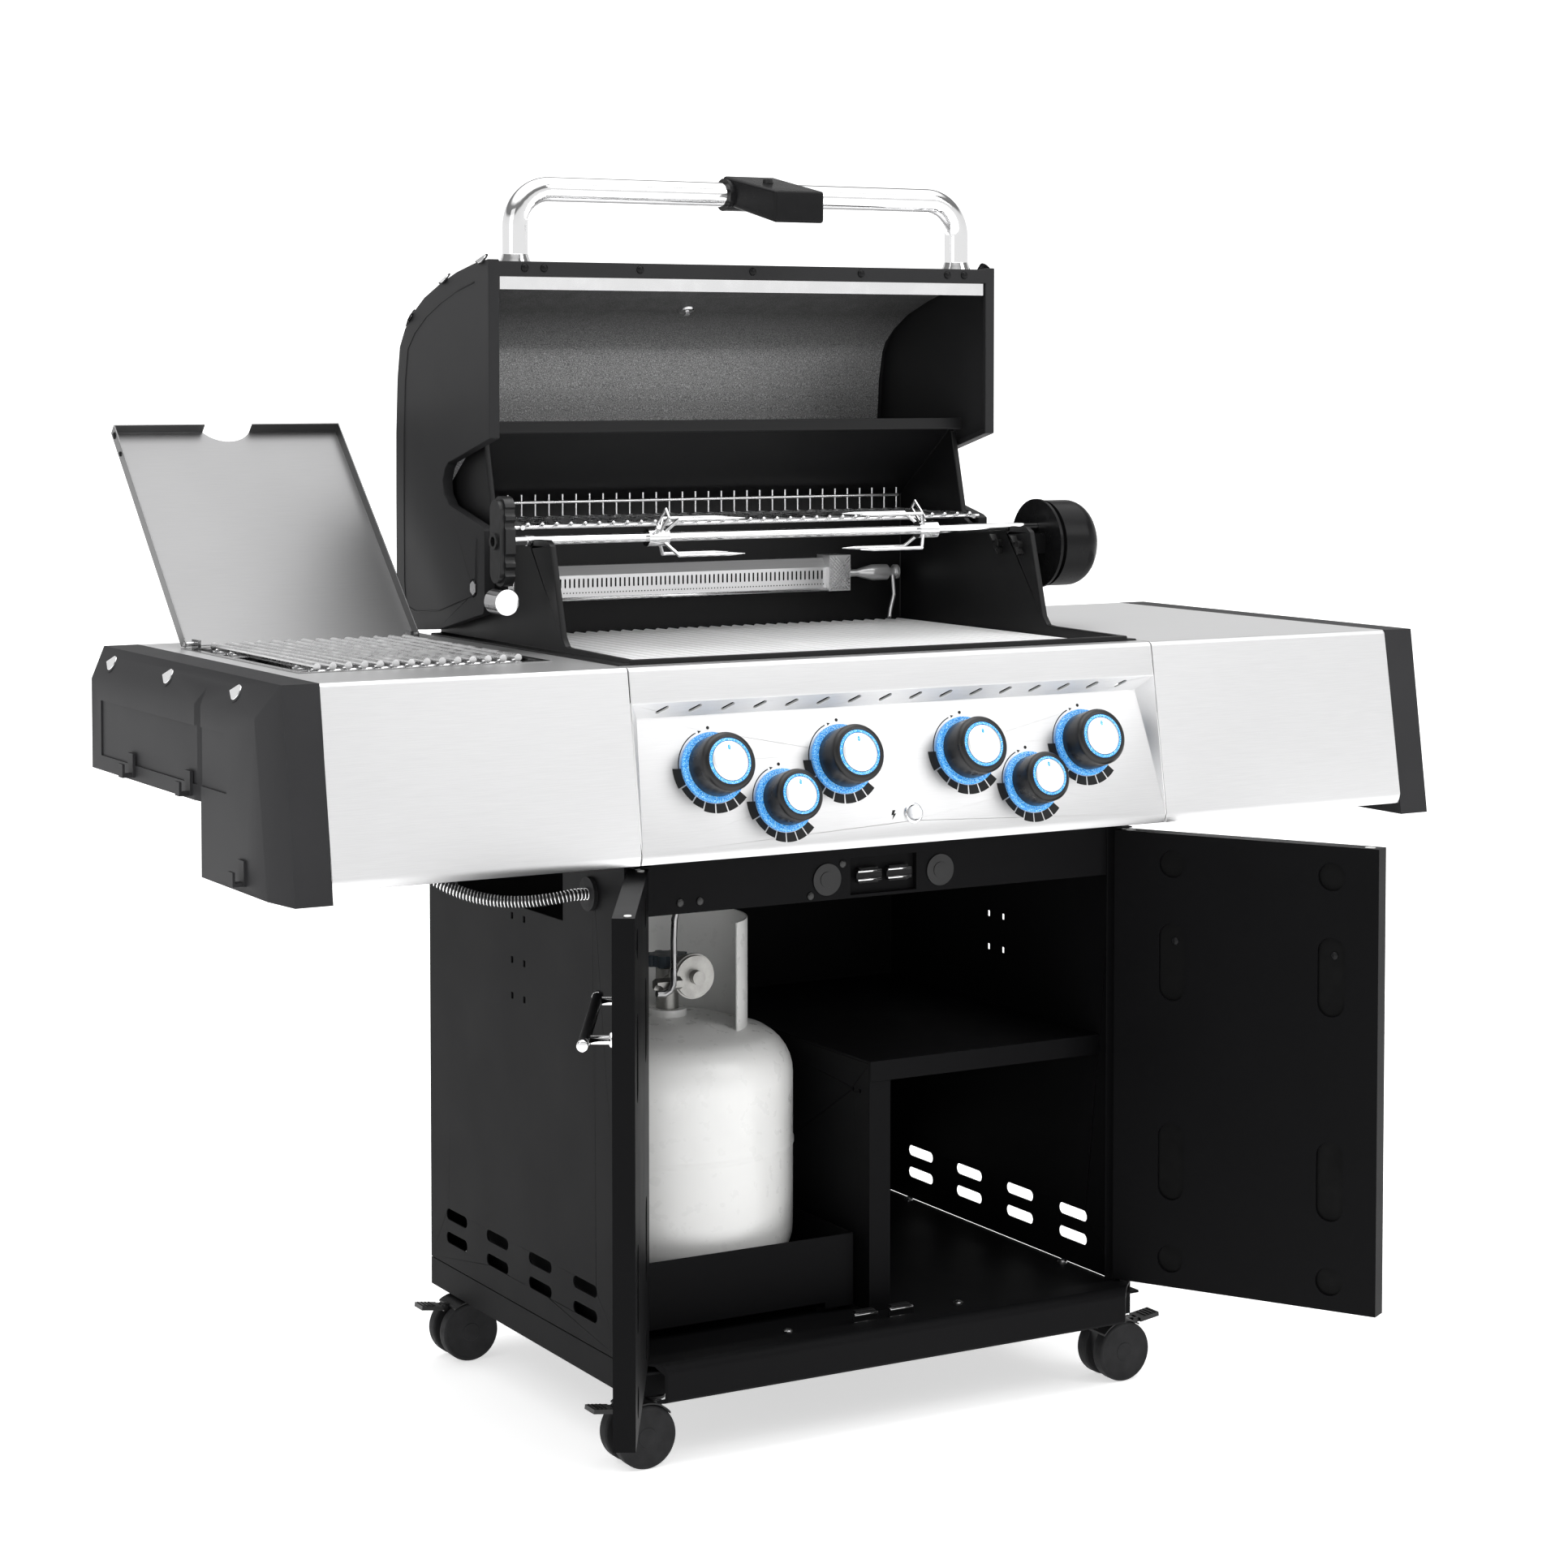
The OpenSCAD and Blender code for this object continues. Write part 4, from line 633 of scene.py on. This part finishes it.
def door_trim(side):
    """Chrome end plugs and posts of the door's bar handle."""
    at = door_frame(side)
    ends, posts = [], []
    for way in (-1, 1):
        start = Vector((PULL_X + way * PULL_END, -(DOOR_HALF + PULL_OUT), PULL_Z)) * MM
        turn = Matrix.Translation(start) @ Matrix.Rotation(way * math.pi / 2, 4, "Y")
        ends.append(lathe("pull_end", mm([
            (0, 1.6), (4.6, 1.5), (6.2, 0.6), (6.6, -0.6), (6.6, -13), (6.3, -13.6)
        ]), at @ turn, 40))
        foot = Vector((PULL_X + way * PULL_POST, -DOOR_HALF, PULL_Z)) * MM
        out = Matrix.Translation(foot) @ Matrix.Rotation(math.pi / 2, 4, "X")
        posts.append(lathe("pull_post", mm([
            (8.4, 0.05), (8.4, 3.2), (7.6, 4.2), (4.9, 5.2), (4.8, 24.6)
        ]), at @ out, 40))
    keep(join(f"pull_chrome_{side}", ends + posts), f"{side}_door", "chrome")


def door_recesses(side):
    """Dark floors of the stamped recesses as painted shade, a screw in two of them and pads at the top
    corners.
    """
    at = door_frame(side)
    body = f"{side}_door"
    floor_y = DOOR_HALF - RECESS_DEPTH
    round_one, long_one = circle(16.4 * MM, 32), slot_outline(95 * MM, 33 * MM)
    floors, screws = [], []
    for x in RECESS_X:
        for z, outline in ((162, round_one), (651, round_one), (283, long_one), (530, long_one)):
            # Each floor is a thin near-black plate: painted shade in the recess.
            local = facing((x, floor_y, z), (0, 0, 1), (0, 1, 0))
            floors.append(plate("floor", outline, 0.15 * MM, at @ local))
        local = facing((x + 3, floor_y, 556), (1, 0, 0), (0, 1, 0))
        screws.append(lathe("screw", mm([(0, 2.6), (3.2, 2.3), (4.6, 1.4), (5.2, 0)]), at @ local, 24))
    keep(join(f"door_recess_floors_{side}", floors), body, "recess")
    keep(join(f"door_screws_{side}", screws), body, "gloss_black")
    pads = []
    for x in (12, 322):
        corner = at @ Matrix.Translation(Vector((x, 4, 688)) * MM)
        pads.append(plate("pad", slot_outline(13 * MM, 8 * MM), 0.8 * MM, corner, 0.2 * MM))
    keep(join(f"door_pads_{side}", pads), body, "pad")


# ------------------------------------------------------------------ hood, burner and end cap details
# Stretches of the end frame's edge on the closed hood, with the share along each where a drop sits
HOOD_DROPS = (((9, 22), (13, 60), 0.4), ((22, 110), (35, 160), 0.74), ((72, 248), (90, 270), 0.2))
HOOD_RIVETS = (-318, -292, -160, 0, 160, 292, 318)
# The raised line inside the edge of the end frames, on the closed hood
HOOD_RIDGE = (
    (32, 60), (42, 112), (55, 158), (72, 204), (92, 240), (112, 262), (152, 271), (220, 276), (300, 277),
    (410, 277), (440, 273), (446, 240), (440, 170), (414, 62), (345, 58),
)
DROP_X = 364.2
RIDGE_X = 365.9


def hood_trim():
    low, high, half = 25.5, 41, 350
    outline = mm([(-half, low), (half, low), (half, high), (-half, high)])
    at = HOOD @ Matrix.Translation((0, 0, 21 * MM))
    strip = plate("hood_bright_strip", outline, 0.9 * MM, at, 0.2 * MM)
    keep(strip, "hood", "bright")
    rivets = []
    for x in HOOD_RIVETS:
        spot = HOOD @ facing((x, 15, 18), (1, 0, 0), (0, 0, -1))
        rivets.append(lathe("rivet", mm([(0, 2.4), (3.0, 2.1), (4.6, 1.2), (5.2, -0.1)]), spot, 24))
    keep(join("hood_rivets", rivets), "hood", "gloss_black")
    hood_drops()
    for way, side in ((-1, "left"), (1, "right")):
        path = [HOOD @ Vector((way * RIDGE_X * MM, y * MM, z * MM)) for y, z in HOOD_RIDGE]
        ridge = tube(f"hood_cap_ridge_{side}", path, 1.1 * MM, sides=8)
        keep(ridge, "hood", "hood_cast")
    gauge_nut()


def hood_drops():
    """Bright drops in rims along the edge of both end frames."""
    length, width = 24 * MM, 14 * MM
    drops, rims = [], []
    for way in (-1, 1):
        for low, high, share in HOOD_DROPS:
            a, b = Vector((0, *low)), Vector((0, *high))
            along = (b - a).normalized()
            out = Vector((0, -along.z, along.y))
            spot = a.lerp(b, share) + Vector((0, -4, 2)) + out * 1.2
            spot.x = way * DROP_X
            at = HOOD @ facing(spot, along, out + Vector((way * 1.1, 0, 0)))
            rims.append(plate("rim", drop_rim(length, width, 1.28), 1.4 * MM, at, 0.3 * MM))
            drops.append(plate("drop", teardrop(length, width), 2.2 * MM, at, 0.5 * MM))
    keep(join("hood_cap_drop_rims", rims), "hood", "hood_cast")
    keep(join("hood_cap_drops", drops), "hood", "bright")


def gauge_nut():
    """Nut and washer that hold the thermometer inside the hood."""
    axis = Matrix.Translation((0, 44 * MM, 200 * MM)) @ Matrix.Rotation(math.radians(72), 4, "X")
    nut = lathe("gauge_nut", mm([
        (4.3, -20), (9.5, -20), (10.5, -19), (10.5, -15.5), (21, -14.6), (23, -13.4), (23, -11.8)
    ]), HOOD @ axis, 48)
    keep(nut, "hood", "zinc")


def end_cap_trim():
    """Bright drops in rims on the slanted shoulder of both end caps."""
    length, width = 30 * MM, 19 * MM
    shoulder_x, shoulder_z = 732 + 45 + 5.2, -20 + 3.0
    drops, rims = [], []
    for way in (-1, 1):
        for y in (113, 331, 530):
            spot = (way * shoulder_x, y, shoulder_z)
            at = FRONT @ facing(spot, (0, 1, 0), (way * 0.87, 0, 0.5))
            rims.append(plate("rim", drop_rim(length, width, 1.3), 1.0 * MM, at, 0.3 * MM))
            drops.append(plate("drop", teardrop(length, width), 2.0 * MM, at, 0.6 * MM))
    keep(join("end_cap_drop_rims", rims), "cart", "cap")
    keep(join("end_cap_drops", drops), "cart", "bright")


def rear_burner_face():
    """Dark port slots above a row of small holes drawn on the burner's front as painted shade, and the
    bracket's cross-hatched cover.
    """
    face_y, port_z, hole_z = 519.85, 60, 47.5
    port, hole = slot_outline(12 * MM, 2.2 * MM), circle(0.9 * MM, 8)
    # Each port and hole is a thin near-black plate: painted shade for an opening.
    ports = []
    for k in range(68):
        spot = facing((-244 + 6.6 * k, face_y, port_z), (0, 0, 1), (0, -1, 0))
        ports.append(plate("port", port, 0.12 * MM, FRONT @ spot))
    for k in range(100):
        spot = facing((-245 + 4.5 * k, face_y, hole_z), (1, 0, 0), (0, -1, 0))
        ports.append(plate("hole", hole, 0.12 * MM, FRONT @ spot))
    keep(join("rear_burner_port_shade", ports), "cart", "recess")
    keep(join("rear_burner_hatching", hatching()), "cart", "zinc")
    lip_y, lip_z = 518, 40
    ends = [FRONT @ (Vector((x, lip_y, lip_z)) * MM) for x in (-249, 204)]
    keep(join("rear_burner_lip", [tube("lip", ends, 2.6 * MM, sides=12)]), "cart", "bright")


def hatching():
    """Crossing diagonal wires over the bracket's cover, cut off at its two sides."""
    face_y, foot, top, rise = 511.9, 40, 84, 44
    left, right = 206.5, 236.5
    lines = []
    for k in range(-3, 9):
        for way in (-1, 1):
            x0 = 207 + 5 * k + (12 if way < 0 else 0)
            a, b = Vector((x0, face_y, foot)), Vector((x0 + way * rise, face_y, top))
            if max(a.x, b.x) < left or min(a.x, b.x) > right:
                continue
            span = b - a
            first, last = sorted(((left - a.x) / span.x, (right - a.x) / span.x))
            first, last = max(0, first), min(1, last)
            if last - first > 0.05:
                route = [FRONT @ ((a + span * t) * MM) for t in (first, last)]
                lines.append(tube("hatch", route, 0.5 * MM, sides=6))
    return lines


def catch_plates():
    """Bright rollers over the cores of the door catches, on the floor and on the rail."""
    face_y, row_gap, half = 39.9, 5, 16.2
    parts, cores = [], []
    for x, z in ((-25, -797), (25, -797), (-21, -265), (21, -265)):
        at = FRONT @ facing((x, face_y, z), (1, 0, 0), (0, -1, 0))
        for row in (-row_gap, row_gap):
            route = [at @ (Vector((end, row, 1.6)) * MM) for end in (-half, half)]
            parts.append(tube("keeper", route, 1.9 * MM, sides=10))
        cores.append(plate("core", slot_outline(36 * MM, 17 * MM), 1.4 * MM, at, 0.4 * MM))
    keep(join("catch_keepers", parts), "cart", "bright")
    keep(join("catch_cores", cores), "cart", "gloss_black")


def side_lid_trim():
    """Dark studs at the free corners of the side burner's lid."""
    lid = Matrix.Translation(SIDE_LID_HINGE) @ Matrix.Rotation(math.radians(-135), 4, "X")
    half = 152.1
    parts = []
    for way in (-1, 1):
        for y, r in ((-350, 4.5), (-318, 3.2)):
            at = lid @ facing((way * half, y, 3), (0, 1, 0), (way, 0, 0))
            profile = mm([(0, 2.2), (r * 0.7, 2), (r, 1), (r, -0.2)])
            parts.append(lathe("stud", profile, at, 24))
    keep(join("side_lid_studs", parts), "side_lid", "gloss_black")


# ------------------------------------------------------------------ spring guard of the side burner's hose
# The hose's own route, from the burner down and forward to its grommet
GUARD_ROUTE = [
    (-555, 300, 868), (-555, 296, 840), (-553, 288, 800), (-548, 276, 760), (-538, 262, 722),
    (-522, 246, 690), (-500, 228, 664), (-474, 205, 648), (-446, 178, 640), (-418, 153, 640),
    (-392, 134, 644), (-368, 125, 648), (-345, 124, 648), (-322, 122, 651), (-302, 114, 662),
    (-288, 100, 682), (-280, 84, 706), (-276, 70, 730), (-275, 62, 748),
]


def smooth_route(points, steps):
    """Catmull-Rom points through the given ones."""
    p = [Vector(q) * MM + Vector((0, FRONT_Y, 0)) for q in points]
    p = [2 * p[0] - p[1]] + p + [2 * p[-1] - p[-2]]
    out = []
    for i in range(1, len(p) - 2):
        a, b, c, d = p[i - 1], p[i], p[i + 1], p[i + 2]
        for k in range(steps):
            t = k / steps
            out.append(0.5 * (2 * b + (c - a) * t + (2 * a - 5 * b + 4 * c - d) * t * t
                              + (3 * b - a - 3 * c + d) * t ** 3))
    out.append(p[-2])
    return out


def spring_guard():
    """A wire wound round the hose from end to end."""
    route = smooth_route(GUARD_ROUTE, 40)
    pitch, radius, per_turn, wire = 4.2 * MM, 6.6 * MM, 10, 1.1 * MM
    travelled = [0.0]
    for a, b in zip(route, route[1:]):
        travelled.append(travelled[-1] + (b - a).length)
    length = travelled[-1]
    count = int(length / pitch * per_turn)
    helix, j = [], 0
    side = (route[1] - route[0]).normalized().orthogonal().normalized()
    for k in range(count):
        s = length * k / count
        while travelled[j + 1] < s:
            j += 1
        along = (route[j + 1] - route[j]).normalized()
        t = (s - travelled[j]) / (travelled[j + 1] - travelled[j])
        point = route[j].lerp(route[j + 1], t)
        side = (side - along * side.dot(along)).normalized()
        angle = 2 * math.pi * k / per_turn
        helix.append(point + radius * (math.cos(angle) * side + math.sin(angle) * along.cross(side)))
    keep(tube("hose_spring_guard", helix, wire, sides=6), "cart", "chrome")


# ------------------------------------------------------------------ floor, light and camera
# The sky's grey by height, from straight down at 0 to straight up at 1
SKY = ((0.0, 0.7), (0.5, 0.55), (0.64, 0.5), (0.69, 0.12), (0.8, 0.15), (0.87, 0.95), (1.0, 1.0))
SKY_STRENGTH = 1.55
# Area lights: name, place, size and watts, all aimed at the middle of the grill
LIGHTS = (
    ("key", (2.6, -3.6, 3.6), 2.2, 45),
    ("fill", (-4.2, -2.0, 2.6), 2.6, 15),
    ("top", (0, -0.4, 4.2), 3.0, 60),
)
LIGHT_TARGET = Vector((0, 0, 0.7))


def studio():
    bpy.ops.mesh.primitive_plane_add(size=40, location=(0, 0, -0.0004))
    floor = bpy.context.object
    floor.name = "studio_floor"
    p = Paint("floor_white", (0.93, 0.93, 0.93), 0.8, 0.0, 0.1)
    p.shade(p.noise(1.5, 3.0), 0.99, 1.01)
    p.set(Emission_Color=(1, 1, 1, 1), Emission_Strength=0.6)
    floor.data.materials.append(p.material)
    sky()
    for name, spot, size, power in LIGHTS:
        light = bpy.data.objects.new(name, bpy.data.lights.new(name, "AREA"))
        light.data.size = size
        light.data.energy = power
        light.location = spot
        light.rotation_euler = (LIGHT_TARGET - Vector(spot)).to_track_quat("-Z", "Y").to_euler()
        bpy.context.scene.collection.objects.link(light)
    bpy.context.scene.view_settings.view_transform = "Standard"


def sky():
    """Grey bands for the steel to reflect, and plain white behind the grill."""
    world = bpy.data.worlds.new("studio")
    bpy.context.scene.world = world
    world.use_nodes = True
    tree = world.node_tree
    coords = tree.nodes.new("ShaderNodeTexCoord")
    split = tree.nodes.new("ShaderNodeSeparateXYZ")
    ramp = tree.nodes.new("ShaderNodeValToRGB")
    marks = ramp.color_ramp.elements
    while len(marks) < len(SKY):
        marks.new(0.5)
    for mark, (at, grey) in zip(marks, SKY):
        mark.position = at
        mark.color = (grey, grey, grey, 1)
    half = tree.nodes.new("ShaderNodeMapRange")
    half.inputs["From Min"].default_value = -1
    seen = tree.nodes.new("ShaderNodeLightPath")
    mix = tree.nodes.new("ShaderNodeMix")
    mix.data_type = "RGBA"
    mix.inputs["B"].default_value = (1, 1, 1, 1)
    tree.links.new(coords.outputs["Generated"], split.inputs["Vector"])
    tree.links.new(split.outputs["Z"], half.inputs["Value"])
    tree.links.new(half.outputs["Result"], ramp.inputs["Fac"])
    tree.links.new(ramp.outputs["Color"], mix.inputs["A"])
    tree.links.new(seen.outputs["Is Camera Ray"], mix.inputs["Factor"])
    tree.links.new(mix.outputs["Result"], tree.nodes["Background"].inputs["Color"])
    tree.nodes["Background"].inputs["Strength"].default_value = SKY_STRENGTH


def camera():
    """The photo's viewpoint, solved from the grill's straight edges."""
    yaw, pitch = math.radians(29.945), math.radians(2.802)
    data = bpy.data.cameras.new("camera")
    data.lens = 76.32
    data.sensor_width = 36
    data.shift_y = -0.16
    data.clip_end = 100
    eye = bpy.data.objects.new("camera", data)
    eye.location = Vector((-2066.8, -3585.9, 1254.5)) * MM
    eye.rotation_euler = (math.pi / 2 - pitch, 0, -yaw)
    bpy.context.scene.collection.objects.link(eye)
    bpy.context.scene.camera = eye


camera()
studio()
knob_trim()
igniter_trim()
for side in ("left", "right"):
    door_trim(side)
    door_recesses(side)
hood_trim()
end_cap_trim()
rear_burner_face()
catch_plates()
side_lid_trim()
spring_guard()
